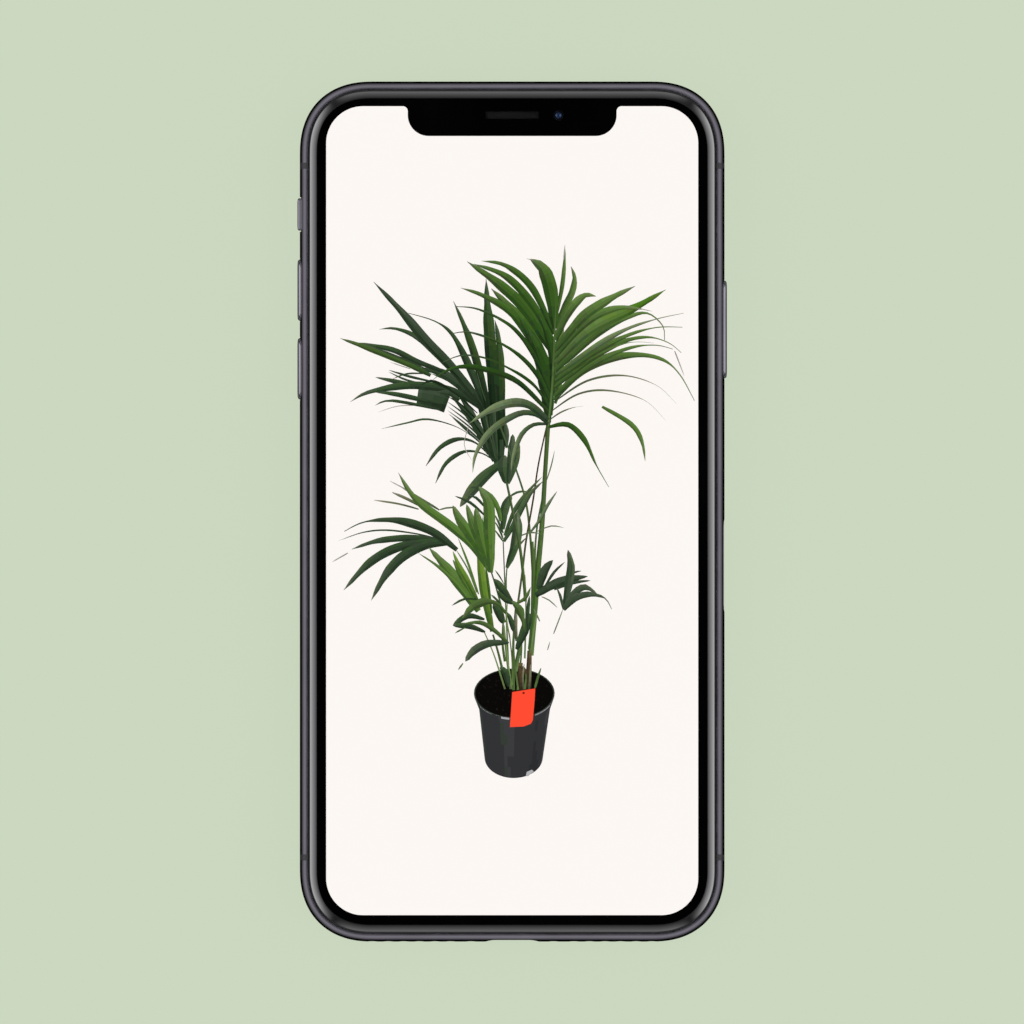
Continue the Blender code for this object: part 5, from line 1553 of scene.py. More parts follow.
# Short leaves and stems just above the pot.
SHOOTS = (
    Layer(Blend.DARK_STEM, Cut.STEM,
        (0.35, -3.5, -10, -2.3, -14, -1.2, -18.5), (0.5, 0.6, -16, 0.2, -22, 0.2, -29.8),
        (0.45, -3.2, -20.5, -2.2, -24, -1.5, -27), (0.45, -1.5, -18.5, -1.6, -22, -1.2, -25),
        (0.35, 1.6, -20, 1.5, -24, 0.9, -29.8)),
    Layer(Blend.BARK, Cut.STEM,
        (1.1, 2.9, -23.2, 2.8, -26, 2.6, -29.8), (1.1, 1.4, -25.2, 1.3, -27, 1.5, -29.8),
        (0.7, 0.9, -25.6, 1.9, -26.2, 2.6, -27.6)),
    Layer(Blend.OLIVE, Cut.HAIR,
        (0.55, 0.7, -16.8, 0.6, -19, 0.7, -21.6), (0.35, 3.1, -25.5, 3, -27.6, 2.8, -29.6),
        (0.3, 2, -25.4, 1.8, -27.6, 1.9, -29.6)),
    Layer(Blend.PALE_STEM, Cut.STEM,
        (0.28, -4.6, -20.2, -3, -24, -1.2, -29.6), (0.5, -1.4, -19, -0.9, -24, -0.2, -29.6),
        (0.3, 4.1, -17, 3.6, -20, 3.1, -23.6), (0.25, -0.8, -15, -0.9, -18, -0.4, -21)),
    Layer(Blend.GREEN_STEM, Cut.STEM,
        (0.8, 1.4, -21.6, 1, -24, 0.5, -26.6), (0.3, 0.2, -20.6, 0.4, -25, 1, -29.7),
        (0.28, -0.4, -21, 0, -25, 0, -29), (0.35, 2.3, -27, 2.3, -28, 2.1, -29.6)),
    Layer(Blend.FOREST, Cut.BROAD,
        (1.2, -2.1, -26, -1.1, -26.8, -0.6, -29.2), (0.4, -10.1, -15.7, -8, -14.6, -5.4, -14.7),
        (1, -9.9, -19, -7.4, -17.4, -4.6, -18), (1, -9.9, -19, -7.2, -19.1, -4.5, -20.1),
        (1.3, -3, -11.2, -1.6, -13, 0.1, -15.4), (0.9, -2.7, -13, -1, -14.8, 1, -15.4),
        (0.4, -3.6, -13.8, -2.5, -14.8, -1.6, -16.2), (1.4, -3.2, -15.2, -2.4, -16.5, -1.6, -18.6),
        (0.9, -0.8, -16.8, -0.2, -18.2, 0.2, -20), (1.5, 3, -17, 2, -20, 0.7, -23),
        (0.6, 2.9, -14, 2.6, -17, 2.6, -20), (0.25, -2.9, -9.7, -2.1, -10.8, -1.3, -12.2)),
    Layer(Blend.HERB, Cut.LEAF,
        (0.8, -8.6, -18.8, -5.4, -18.5, -3, -19.8, -0.6, -22), (0.6, 3.1, -12.6, 2.2, -14.4, 0.6, -15.4),
        (0.3, -9.6, -20.3, -7.8, -19.3)),
    Layer(Blend.HERB, Cut.ARCH,
        (1.5, -8.3, -17.8, -6.6, -15.9, -4.4, -15, -2.4, -15.4, -1, -17),
        (1.5, -0.1, -15, 1, -16, 1.7, -17.8, 1.9, -19.6)),
    Layer(Blend.SLATE, Cut.BROAD, (1.4, -7.8, -25, -6.4, -23.2, -4, -22, -0.7, -21.9)),
    Layer(Blend.GREEN_STEM, Cut.HAIR,
        (0.3, -9, -26.4, -8.2, -25.3), (0.38, 4.8, -26.1, 4.3, -27.6, 3.8, -29.4)),
)


@dataclass
class PalmPicture:
    """The picture on the screen: a potted palm with arching fronds, in millimetres."""

    canvas: Canvas
    spacing: float = 0.9
    thin: float = 0.42
    shading: tuple[float, ...] = (0.78, 1.0, 1.1)
    columns: tuple[float, ...] = (-1.0, -0.25, 0.4, 1.0)
    light_lean: float = 0.35
    mottle: float = 0.02
    crumbs: int = 90
    rim_centre: Point2 = (0.35, -30.3)
    rim_size: Point2 = (6.74, 4.14)
    rng: random.Random = field(default_factory=lambda: random.Random(11))

    def draw(self) -> None:
        """Paints the whole plant from back to front."""
        for part in (LEFT_FROND, BIG_FROND_LEFT, MIDDLE_STEMS, CENTRE_LEAVES, LOWER_FROND, SMALL_FROND):
            self._layers(part)
        self._layers(BIG_FROND_RIGHT)
        self._layers(DROOPING_LEAVES)
        self._soil()
        self._layers(SHOOTS)
        self._pot()
        self._tag()

    def _layers(self, layers: Sequence[Layer]) -> None:
        """Paints layers.

        Args:
            layers: the layers from back to front.
        """
        for layer in layers:
            for width, *flat in layer.strokes:
                self._stroke(width, list(zip(flat[::2], flat[1::2])), layer.blend, layer.cut)

    def _stroke(self, width: float, path: Sequence[Point2], blend: Blend, cut: Cut) -> None:
        """Paints one stroke in strips, lighter on the side that faces the light above.

        Args:
            width: its widest width.
            path: the points of its middle line, tip first.
            blend: its tints.
            cut: how its width runs.
        """
        line = smooth_line(path, self.spacing)
        last = len(line) - 1
        rows = []
        columns, gains = (-1.0, 1.0), (1.0,)
        if width >= self.thin:
            columns, gains = self.columns, self.shading
        dx, dy = line[-1][0] - line[0][0], line[-1][1] - line[0][1]
        if dx - self.light_lean * dy <= 0:
            gains = gains[::-1]
        for i, (x, y) in enumerate(line):
            ahead, behind = line[min(i + 1, last)], line[max(i - 1, 0)]
            dx, dy = ahead[0] - behind[0], ahead[1] - behind[1]
            size = math.hypot(dx, dy) or 1.0
            half = 0.5 * width * width_at(cut, i / last)
            rows.append([(x - dy / size * half * c, y + dx / size * half * c) for c in columns])
        for i, (low, high) in enumerate(zip(rows, rows[1:])):
            colour = along(blend.value, (i + 0.5) / last)
            for j, gain in enumerate(gains):
                level = gain + self.rng.uniform(-self.mottle, self.mottle)
                tint = self.canvas.tint(tuple(min(255.0, part * level) for part in colour))
                self.canvas.quad(low[j], low[j + 1], high[j + 1], high[j], tint)

    def _oval(self, share: float) -> list[Point2]:
        """The pot's rim drawn in by a share."""
        (x, y), (across, up) = self.rim_centre, self.rim_size
        return [(x + across * share * c, y + up * share * s) for c, s in arc((0, 0), 1.0, 0, 360, 48)[:-1]]

    def _soil(self) -> None:
        """The pot's rim and the dark soil inside it, with crumbs that catch a little light."""
        self.canvas.paint(self._oval(1.0), self.canvas.tint((52, 60, 52)))
        self.canvas.paint(self._oval(0.965), self.canvas.tint((8, 7, 6)))
        (x, y), (across, up) = self.rim_centre, self.rim_size
        for _ in range(self.crumbs):
            turn, reach = self.rng.uniform(0, math.tau), math.sqrt(self.rng.uniform(0, 0.8))
            centre = (x + across * reach * math.cos(turn), y + up * reach * math.sin(turn))
            level = self.rng.uniform(12, 30)
            tint = self.canvas.tint((level, 0.86 * level, 0.76 * level))
            size = self.rng.uniform(0.06, 0.2)
            start = self.rng.uniform(0, 120)
            self.canvas.paint(arc(centre, size, start, start + 360, 4)[:-1], tint)

    def _pot(self) -> None:
        """The pot's wall in upright strips under its lip, with light along the front of the lip."""
        ovals = (
            (self.rim_centre, self.rim_size),
            ((0.4, -32.6), (5.95, 2.9)),
            ((0.25, -41.0), (4.85, 3.45)),
        )
        greys = (84, 62, 50, 49, 51, 54, 58, 57, 51, 48, 48, 51, 57, 66, 88)
        strips, rows = 30, 5
        levels = [0.0, *(1 + row / rows for row in range(rows + 1))]
        for i in range(strips):
            turns = [math.pi * (1 + (i + j) / strips) for j in (0, 1)]
            rings = []
            for (x, y), (across, up) in ovals:
                rings.append([(x + across * math.cos(a), y + up * math.sin(a)) for a in turns])
            grey = along([(value,) for value in greys], (i + 0.5) / strips)[0]
            for low, high in zip(levels, levels[1:]):
                edges = [[along(pair, level / 2) for pair in zip(*rings)] for level in (low, high)]
                level = grey * (1.03 - 0.05 * high + self.rng.uniform(-0.02, 0.02))
                tint = self.canvas.tint((level, 1.01 * level, 1.05 * level))
                self.canvas.quad(edges[0][0], edges[0][1], edges[1][1], edges[1][0], tint)
        notch = ((2.3, -43.95), (2.45, -43.4), (3.3, -43.05), (3.6, -43.35), (2.6, -44.2))
        self.canvas.paint(notch, self.canvas.tint((176, 176, 178)))
        for start, end, width, grey in ((212, 236, 0.12, 104), (251, 263, 0.3, 168), (301, 332, 0.2, 132)):
            tint = self.canvas.tint((grey, grey, 1.03 * grey))
            (x, y), (across, up) = self.rim_centre, self.rim_size
            edges = []
            for lift in (0.0, width):
                turns = [math.radians(start + (end - start) * i / 5) for i in range(6)]
                edges.append([(x + across * math.cos(a), y - lift + up * math.sin(a)) for a in turns])
            self.canvas.paint(edges[0] + edges[1][::-1], tint)

    def _tag(self) -> None:
        """A plain red tag that hangs over the rim."""
        corners = (
            (0.0, -30.1), (3.85, -29.5), (3.75, -31.5), (3.45, -34.8),
            (3.1, -35.4), (1.9, -35.85), (-0.38, -35.95),
        )
        self.canvas.paint(corners, self.canvas.tint((255, 76, 50)))
        self.canvas.paint(arc((1.9, -30.25), 0.2, 0, 360, 10)[:-1], self.canvas.tint((110, 34, 24)))


@dataclass
class Screen:
    """The lit screen: one flat sheet of paper and inks, flush with the glass round it."""

    front: Front
    thickness: float = 0.15 * MM
    gap: float = 0.008 * MM

    def build(self) -> None:
        """Draws the picture, flattens it and closes it to a thin panel."""
        canvas = Canvas()
        outline = self.front.screen_points(-self.gap)
        canvas.paint([(x / MM, y / MM) for x, y in outline], 0)
        PalmPicture(canvas).draw()
        points, parts = canvas.flatten()
        face = self.front.glass.body.face
        form = Form()
        made = [form.shape.verts.new((p.x * MM, p.y * MM, face)) for p in points]
        for corners, tint in parts:
            form.shape.faces.new([made[i] for i in corners]).material_index = tint
        form.loft([[(x, y, z) for x, y in outline] for z in (face, face - self.thickness)], caps=False)
        form.patch([(x, y, face - self.thickness) for x, y in outline])
        bmesh.ops.remove_doubles(form.shape, verts=form.shape.verts, dist=0.002 * MM)
        inks = [Ink(f"ink_{i:02d}", shade(*colour)) for i, colour in enumerate(canvas.inks)]
        LOG.info("picture: %d cells, %d inks", len(canvas.cells), len(inks))
        paper = LitSheet("screen_paper", shade(252, 247, 243))
        Piece("lit_screen", "lit_screen", replaces=("display_panel",)).make(form, paper, *inks)


@dataclass
class Weave:
    """A plain weave of round wires over a rectangle."""

    low: Point2
    high: Point2
    pitch: float
    wire: float

    def form(self, place: Callable[[float, float, float], Point3]) -> Form:
        """Weaves the mesh.

        Args:
            place: gives the point for two places on the sheet and a lift out of it.

        Returns:
            The woven form.
        """
        made = Form()
        counts = [max(2, round((self.high[k] - self.low[k]) / self.pitch)) for k in (0, 1)]
        spans = [(self.high[k] - self.low[k]) / counts[k] for k in (0, 1)]
        for k in (0, 1):
            other = 1 - k
            for i in range(counts[k]):
                across = self.low[k] + (i + 0.5) * spans[k]
                path = []
                for j in range(2 * counts[other] + 1):
                    onward = self.low[other] + j * spans[other] / 2
                    over = 1 if (i + j // 2 + k) % 2 else -1
                    lift = over * self.wire if j % 2 else 0.0
                    u, v = (across, onward) if k == 0 else (onward, across)
                    path.append(place(u, v, lift))
                made.tube(path, self.wire, 5)
        return made


@dataclass
class Back:
    """The back glass and the rear camera that stands out of it."""

    glass: FaceGlass
    gap: float = 0.15 * MM
    ring_wall: float = 0.8 * MM
    barrel: float = 3.0 * MM
    opening: float = 2.1 * MM
    microphone: float = 0.35 * MM
    microphone_shift: Point2 = (2.6 * MM, 1.9 * MM)
    centre: Point2 = field(init=False)
    size: Point2 = field(init=False)

    def build(self) -> None:
        """Makes the glass, the ring, the window and what shows through it."""
        body = self.glass.body
        rings, tints = self.glass.rings(-1)
        low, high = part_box("rear_camera_ring")
        self.centre = self._middle("rear_camera_ring")
        self.size = (high.x - low.x, high.y - low.y)
        tint = PolishedGlass("dark_back_glass", (0.018, 0.0175, 0.02), 0.05, 0.07)
        # the rim of the back glass carries a painted highlight
        edge = RimHighlight("back_glass_rim_highlight", face=body.back, fall=-0.4 * MM, flat=(0.02, 0.02, 0.022))
        hole = self._tall(self.size[0] + 2 * self.gap, self.size[1] + 2 * self.gap)
        cutter = Form().loft([self._lay(hole, 0.0, z) for z in (body.back - MM, body.back + 2 * MM)])
        piece = Piece("rear_glass", "back_glass", replaces=("back_glass",))
        piece.make(Form().loft(rings, tints=tints), tint, edge, cutters=[cutter])
        self._ring(low.z, high.z)
        self._window()
        for name, node in (("upper", "rear_camera_upper"), ("lower", "rear_camera_lower")):
            self._module(name, node)
        self._flash()

    def _tall(self, width: float, length: float) -> Outline:
        """A bar with half-round ends round the camera, its length first."""
        return Outline.bar(length, width, steps=18)

    def _lay(self, outline: Outline, grow: float, z: float) -> list[Point3]:
        """Lays an outline round the camera, with its first axis along the phone."""
        return [(self.centre[0] - v, self.centre[1] + u, z) for u, v in outline.points(grow)]

    def _ring(self, low: float, high: float) -> None:
        """The steel ring, with a rounded outer rim and a small inner chamfer.

        Args:
            low: the height of its outer face.
            high: the height of its foot inside the phone.
        """
        outer = self._tall(*self.size)
        wall = self.ring_wall
        steps = [(-wall, high), (-wall, low + 0.08 * MM), (-wall + 0.08 * MM, low)]
        rounding = 0.3 * MM
        for i in range(7):
            turn = math.radians(90 * i / 6)
            steps.append((-rounding * (1 - math.sin(turn)), low + rounding * (1 - math.cos(turn))))
        steps.append((0.0, high))
        form = Form().loft([self._lay(outer, grow, z) for grow, z in steps], closed=True)
        Piece("camera_ring", "band_steel", replaces=("rear_camera_ring",)).make(form, STEEL)

    def _window(self) -> None:
        """The black window inside the ring, with holes for the lenses, the flash and a microphone."""
        low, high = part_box("rear_camera_window")
        outline = self._tall(high.x - low.x, high.y - low.y)
        ease, rim = 0.06 * MM, 0.04 * MM
        steps = ((0.0, high.z), (0.0, low.z + ease), (-ease, low.z))
        form = Form().loft([self._lay(outline, grow, z) for grow, z in steps])
        holes = []
        for node in ("rear_camera_upper_lens", "rear_camera_lower_lens"):
            holes.append((self._middle(node), self.barrel + 0.05 * MM))
        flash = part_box("rear_flash")
        holes.append((self._middle("rear_flash"), (flash[1].x - flash[0].x) / 2 + 0.05 * MM))
        shift = self.microphone_shift
        holes.append(((self.centre[0] + shift[0], self.centre[1] + shift[1]), self.microphone))
        cutters = []
        for centre, radius in holes:
            disc = Outline.disc(radius, centre)
            steps = ((rim, low.z - MM), (rim, low.z), (0.0, low.z + rim), (0.0, high.z + MM))
            cutters.append(Form().stack(disc, steps))
        piece = Piece("camera_window", "camera_window", replaces=("rear_camera_window",))
        piece.make(form, GLOSS_BLACK, cutters=cutters)

    @staticmethod
    def _middle(node: str) -> Point2:
        """The middle of a node seen from above."""
        low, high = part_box(node)
        return ((low.x + high.x) / 2, (low.y + high.y) / 2)

    def _module(self, name: str, node: str) -> None:
        """One rear camera: its stepped barrel, its housing inside the phone and its lens.

        Args:
            name: which of the two it is.
            node: its node.
        """
        low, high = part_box(node)
        centre = self._middle(f"{node}_lens")
        lens_low, lens_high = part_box(f"{node}_lens")
        radius, well = self.opening, lens_high.z + 0.12 * MM
        steps = [
            (radius + 0.1 * MM, well), (radius + 0.1 * MM, low.z + 0.3 * MM),
            (radius + 0.3 * MM, low.z + 0.12 * MM), (self.barrel - 0.35 * MM, low.z + 0.12 * MM),
            (self.barrel - 0.3 * MM, low.z), (self.barrel - 0.06 * MM, low.z),
            (self.barrel, low.z + 0.06 * MM), (self.barrel, high.z - 4 * MM),
        ]
        form = Form().turned(centre, steps, [0, 0, 0, 1, 1, 1], 24)
        side = high.x - low.x
        form.prism(Outline(side, side, 0.5 * MM, self._middle(node)), high.z - 3.9 * MM, high.z)
        trim = CoatedSteel("lens_trim", (0.16, 0.155, 0.17), 0.22)
        piece = Piece(f"{name}_camera", "black_plastic", replaces=(node,))
        piece.make(form, BLACK_PLASTIC, trim)
        inner, top = 0.6 * radius, lens_low.z
        steps = [(radius, lens_high.z), (radius, top + 0.2 * MM)]
        steps += [(0.92 * radius, top + 0.14 * MM), (0.66 * radius, top + 0.19 * MM)]
        for i in range(8):
            turn = math.radians(90 * i / 8)
            steps.append((inner * math.cos(turn), top + 0.16 * MM * (1 - math.sin(turn))))
        lens = CoatedLens(f"{name}_lens", centre, inner, coating=(0.5, 0.4, 1.0))
        piece = Piece(f"{name}_lens", "lens_glass", replaces=(f"{node}_lens",))
        piece.make(Form().turned(centre, steps, [1, 1, 1], 24), lens, BLACK_PLASTIC)

    def _flash(self) -> None:
        """The flash: a pale lens with ring-shaped ribs."""
        low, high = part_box("rear_flash")
        centre = self._middle("rear_flash")
        radius = (high.x - low.x) / 2
        steps = [(radius, high.z), (radius, low.z + 0.05 * MM), (radius - 0.05 * MM, low.z)]
        ribs = 5
        for i in range(ribs):
            outer = radius - 0.12 * MM - i * (radius - 0.25 * MM) / ribs
            steps += [(outer, low.z + 0.07 * MM), (outer - 0.05 * MM, low.z + 0.01 * MM)]
        yellow = Moulded("flash_yellow", (0.8, 0.72, 0.42), 0.18, 0.3 * MM, 0.002 * MM)
        form = Form().turned(centre, steps)
        Piece("flash_lens", "flash_lens", replaces=("rear_flash",)).make(form, yellow)


@dataclass
class SideKeys:
    """The keys on both sides and the ring switch, each on its own body."""

    band: Band
    gap: float = 0.1 * MM
    key_height: float = 2.6 * MM
    rounding: float = 0.5 * MM
    chamfer: float = 0.12 * MM
    foot_overhang: float = 0.9 * MM
    clearance: float = 0.12 * MM
    switch_height: float = 1.9 * MM
    switch_travel: float = 1.1 * MM
    switch_stem: Point2 = (2.0 * MM, 0.8 * MM)
    switch_foot: Point2 = (3.4 * MM, 1.7 * MM)
    recess_depth: float = 1.3 * MM
    passage: Point2 = (2.24 * MM, 2.14 * MM)

    def build(self) -> None:
        """Makes the keys and notes their openings in the band."""
        self._key("volume_up_key", "volume_up", Wall.LEFT)
        self._key("volume_down_key", "volume_down", Wall.LEFT)
        self._key("side_key", "side_button", Wall.RIGHT)
        self._switch()

    def _key(self, node: str, body_name: str, wall: Wall) -> None:
        """A key with a half-round bar for a face and a wide foot behind the wall.

        Args:
            node: the key's node.
            body_name: the body that it rides on.
            wall: the wall that it goes through.
        """
        body = self.band.body
        low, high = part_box(node)
        middle, foot_length = (low.y + high.y) / 2, high.y - low.y
        length = foot_length - 2 * self.foot_overhang
        outline = Outline.bar(length, self.key_height, (middle, 0.0), 14)
        through = ((0.0, self.band.wall + MM),)
        slot = Outline.bar(length + 2 * self.gap, self.key_height + 2 * self.gap, (middle, 0.0), 14)
        self.band.cut(wall, slot, through, self.chamfer)
        proud = max(abs(low.x), abs(high.x)) - body.half_width
        behind = self.band.wall + self.clearance
        stem = (behind + 0.2 * MM, behind - 1 * MM)
        form = Form().loft(body.raised(wall, outline, stem, proud, self.rounding))
        foot = Outline(foot_length, high.z - low.z, 0.6 * MM, (middle, 0.0))
        form.loft(body.shaft(wall, foot, behind, behind + 0.5 * MM))
        Piece(f"{node}_cap", "key_steel", body_name, (node,)).make(form, KEY_STEEL)

    def _switch(self) -> None:
        """The sliding lever, its recess and the orange strip that the lever uncovers."""
        body, wall = self.band.body, Wall.LEFT
        low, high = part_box("ring_switch_lever")
        centre_y, length = (low.y + high.y) / 2, high.y - low.y
        room = self.switch_height + self.switch_travel + 2 * self.gap
        recess = Outline(length + 2 * self.gap, room, 0.5 * MM, (centre_y, 0.0))
        passage = Outline(*self.passage, 0.2 * MM, (centre_y, 0.0))
        self.band.cut(wall, recess, ((0.0, self.recess_depth),), self.chamfer)
        rings = body.shaft(wall, passage, self.recess_depth - 0.2 * MM, 4 * MM)
        self.band.openings[wall].append(Form().loft(rings))
        rise = self.switch_travel / 2
        face = Outline(length, self.switch_height, 0.4 * MM, (centre_y, rise))
        proud = -low.x - body.half_width
        back = self.recess_depth - 0.44 * MM
        form = Form().loft(body.raised(wall, face, (back, back - 0.3 * MM), proud, 0.3 * MM))
        stem = Outline(*self.switch_stem, 0.2 * MM, (centre_y, rise))
        form.loft(body.shaft(wall, stem, back - 0.1 * MM, self.band.wall + 0.3 * MM))
        foot = Outline(*self.switch_foot, 0.3 * MM, (centre_y, rise))
        behind = self.band.wall + self.clearance
        form.loft(body.shaft(wall, foot, behind, behind + 0.45 * MM))
        Piece("ring_switch_cap", "key_steel", "ring_switch", ("ring_switch_lever",)).make(form, SWITCH_STEEL)
        orange = Moulded("orange_paint", (0.8, 0.17, 0.02), 0.4, 0.2 * MM)
        dress_node(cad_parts["ring_switch_stripe"], orange)


@dataclass
class CardTray:
    """The card tray that slides out of the right side, with its card."""

    band: Band
    gap: float = 0.08 * MM
    face_depth: float = 1.4 * MM
    chamfer: float = 0.06 * MM
    carrier: Point2 = (12.7 * MM, 1.0 * MM)
    card_room: float = 0.08 * MM
    contact: Point2 = (1.7 * MM, 2.3 * MM)
    pin_radius: float = 0.4 * MM
    pin_shift: float = 6.2 * MM

    def build(self) -> None:
        """Makes the tray with its pocket and eject hole, and the card with its contacts."""
        body, wall = self.band.body, Wall.RIGHT
        low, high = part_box("card_tray")
        middle = (low.y + high.y) / 2
        length, height = high.y - low.y, high.z - low.z
        inset = body.half_width - high.x
        face = Outline.bar(length, height, (middle, 0.0))
        mouth = Outline.bar(length + 2 * self.gap, height + 2 * self.gap, (middle, 0.0))
        self.band.cut(wall, mouth, ((0.0, inset + self.face_depth + self.gap),), self.chamfer)
        width, thickness = self.carrier
        slot = Outline(width + 2 * self.gap, thickness + 2 * self.gap, 0.2 * MM, (middle, 0.0))
        self.band.openings[wall].append(Form().loft(body.shaft(wall, slot, MM, 4 * MM)))
        root = inset + self.face_depth
        steps = [(0.0, root), (0.0, inset + 0.1 * MM), (-0.03 * MM, inset + 0.03 * MM), (-0.1 * MM, inset)]
        form = Form().loft(body.tiers(wall, face, steps))
        carrier = Outline(width, thickness, 0.15 * MM, (middle, 0.0))
        form.loft(body.shaft(wall, carrier, root - 0.2 * MM, body.half_width - low.x))
        card_low, card_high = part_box("sim_card")
        card_x, card_y = (card_low.x + card_high.x) / 2, (card_low.y + card_high.y) / 2
        card_size = (card_high.x - card_low.x, card_high.y - card_low.y)
        room = 2 * self.card_room
        pocket = Outline(card_size[0] + room, card_size[1] + room, 0.5 * MM, (card_x, card_y))
        window = Outline(card_size[0] - MM, card_size[1] - 2 * MM, 0.5 * MM, (card_x, card_y))
        levels = (body.middle + MM, card_low.z - 0.04 * MM, card_low.z - 0.04 * MM, body.middle - MM)
        shapes = (pocket, pocket, window, window)
        cutter = Form().loft([shape.level(height) for shape, height in zip(shapes, levels)])
        pin = Outline.disc(self.pin_radius, (middle - self.pin_shift, 0.0), 8)
        hole = body.opening(wall, pin, ((0.0, self.face_depth + inset + 0.5 * MM),), 0.0)
        piece = Piece("card_tray_frame", "band_steel", "tray", ("card_tray",), overlapping=True)
        piece.make(form, STEEL, cutters=[cutter, hole])
        self._card(card_low, card_high)

    def _card(self, low: Vector, high: Vector) -> None:
        """The card: a plain blank with gold contact pads on its face.

        Args:
            low: the lowest corner of its solid.
            high: the highest.
        """
        centre = ((low.x + high.x) / 2, (low.y + high.y) / 2)
        outline = Outline(high.x - low.x, high.y - low.y, 0.5 * MM, centre)
        ease = 0.05 * MM
        steps = ((-ease, low.z), (0.0, low.z + ease), (0.0, high.z - ease), (-ease, high.z))
        blank = Moulded("card_plastic", (0.82, 0.82, 0.8), 0.4)
        Piece("card_blank", "card_plastic", "tray", ("sim_card",)).make(Form().stack(outline, steps), blank)
        pads = Form()
        across, up = self.contact
        for i in (-1.5, -0.5, 0.5, 1.5):
            for j in (-0.5, 0.5):
                spot = (centre[0] + i * across, centre[1] + 2 * j * up)
                pad = Outline(across - 0.12 * MM, up * 1.6, 0.2 * MM, spot)
                pads.prism(pad, low.z - 0.02 * MM, low.z + 0.02 * MM)
        Piece("card_contacts", "contact_gold", "tray").make(pads, CONTACT_GOLD)


@dataclass
class BottomEdge:
    """The connector socket, two screws and two rows of sound holes in the bottom edge."""

    band: Band
    socket_sheet: float = 0.3 * MM
    screw_head: float = 0.75 * MM
    screw_drive: float = 0.4 * MM
    mesh_pitch: float = 0.27 * MM
    mesh_wire: float = 0.06 * MM
    hole_radius: float = 0.75 * MM
    hole_pitch: float = 2.6 * MM
    hole_first: float = 10.3 * MM
    hole_count: int = 6

    def build(self) -> None:
        """Makes each of them and notes their openings in the band."""
        self._socket()
        for name in ("left", "right"):
            self._screw(name)
        self._sound_holes()

    def _socket(self) -> None:
        """The socket's drawn shell, with a rolled lip."""
        body, wall = self.band.body, Wall.BOTTOM
        low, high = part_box("socket_shell")
        width, height = high.x - low.x, high.z - low.z
        outer = Outline.bar(width, height)
        mouth = Outline.bar(width + 0.12 * MM, height + 0.12 * MM)
        self.band.cut(wall, mouth, ((0.0, 4 * MM),), 0.18 * MM)
        inset, end = low.y + body.half_length, high.y + body.half_length
        sheet = self.socket_sheet
        steps = (
            (-sheet, end - 2 * sheet), (-sheet, inset + 0.12 * MM), (-0.6 * sheet, inset),
            (-0.3 * sheet, inset), (0.0, inset + 0.1 * MM), (0.0, end),
        )
        form = Form().loft(body.tiers(wall, outer, steps))
        piece = Piece("socket_liner", "socket_steel", replaces=("socket_shell",))
        piece.make(form, BareMetal("socket_steel", (0.5, 0.5, 0.52), 0.3))

    def _screw(self, name: str) -> None:
        """A small screw with a six-sided recess in a slightly rounded head.

        Args:
            name: the side that it is on.
        """
        body, wall = self.band.body, Wall.BOTTOM
        node = f"bottom_screw_{name}"
        low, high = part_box(node)
        centre = ((low.x + high.x) / 2, 0.0)
        head = Outline.disc(self.screw_head, centre)
        sunk = Outline.disc(self.screw_head + 0.07 * MM, centre)
        self.band.cut(wall, sunk, ((0.0, 1.32 * MM),), 0.05 * MM)
        inset, end = low.y + body.half_length, high.y + body.half_length
        steps = (
            (-0.3 * MM, end), (-0.3 * MM, inset + MM), (0.0, inset + MM),
            (0.0, inset + 0.14 * MM), (-0.05 * MM, inset + 0.05 * MM), (-0.16 * MM, inset),
        )
        drive = arc(centre, self.screw_drive, 0, 360, 6)[:-1]
        recess = Form().loft([body.on_wall(wall, drive, depth) for depth in (-MM, inset + 0.45 * MM)])
        piece = Piece(f"{node}_head", "band_steel", replaces=(node,))
        piece.make(Form().loft(body.tiers(wall, head, steps)), KEY_STEEL, cutters=[recess])

    def _sound_holes(self) -> None:
        """Two rows of round holes, each over a woven mesh."""
        body, wall = self.band.body, Wall.BOTTOM
        wire = Moulded("mesh_dark", (0.02, 0.02, 0.021), 0.45)
        for side, name in ((-1, "microphone_mesh"), (1, "speaker_mesh")):
            for i in range(self.hole_count):
                centre = (side * (self.hole_first + i * self.hole_pitch), 0.0)
                hole = Outline.disc(self.hole_radius, centre, 10)
                self.band.cut(wall, hole, ((0.0, 4 * MM),), 0.12 * MM)
            low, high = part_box(name)
            depth = low.y + body.half_length + 0.15 * MM
            mesh = Weave((low.x, low.z), (high.x, high.z), self.mesh_pitch, self.mesh_wire)
            form = mesh.form(lambda u, v, lift: (u, depth - body.half_length + lift, v))
            Piece(f"woven_{name}", "speaker_mesh", replaces=(name,)).make(form, wire)


def dress_node(node: bpy.types.Object, finish: Finish) -> None:
    """Gives a kept CAD node a finish in place of its plain one.

    Args:
        node: the node.
        finish: its finish.
    """
    node.data.materials.clear()
    node.data.materials.append(finish.material())
    node.data.polygons.foreach_set("material_index", [0] * len(node.data.polygons))


class Insides:
    """The parts inside the phone, which keep their solids and get their finishes."""

    def build(self) -> None:
        """Dresses every inner node."""
        wrap = Moulded("battery_wrap", (0.05, 0.05, 0.055), 0.5, 0.8 * MM, 0.02 * MM)
        chosen = {
            BareMetal("plate_metal"): (
                "mid_plate", "left_bracket", "right_bracket", "card_reader", "vibration_motor",
            ),
            wrap: ("battery_upper", "battery_lower"),
            BLACK_PLASTIC: ("ear_speaker", "loudspeaker", "front_camera_barrel"),
            CONTACT_GOLD: ("socket_contacts",),
            BoardPrint("logic_board"): ("logic_board",),
            WoundWire("coil_copper"): ("charging_coil",),
        }
        for finish, names in chosen.items():
            for name in names:
                dress_node(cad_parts[name], finish)
        LOG.info("inner parts dressed")


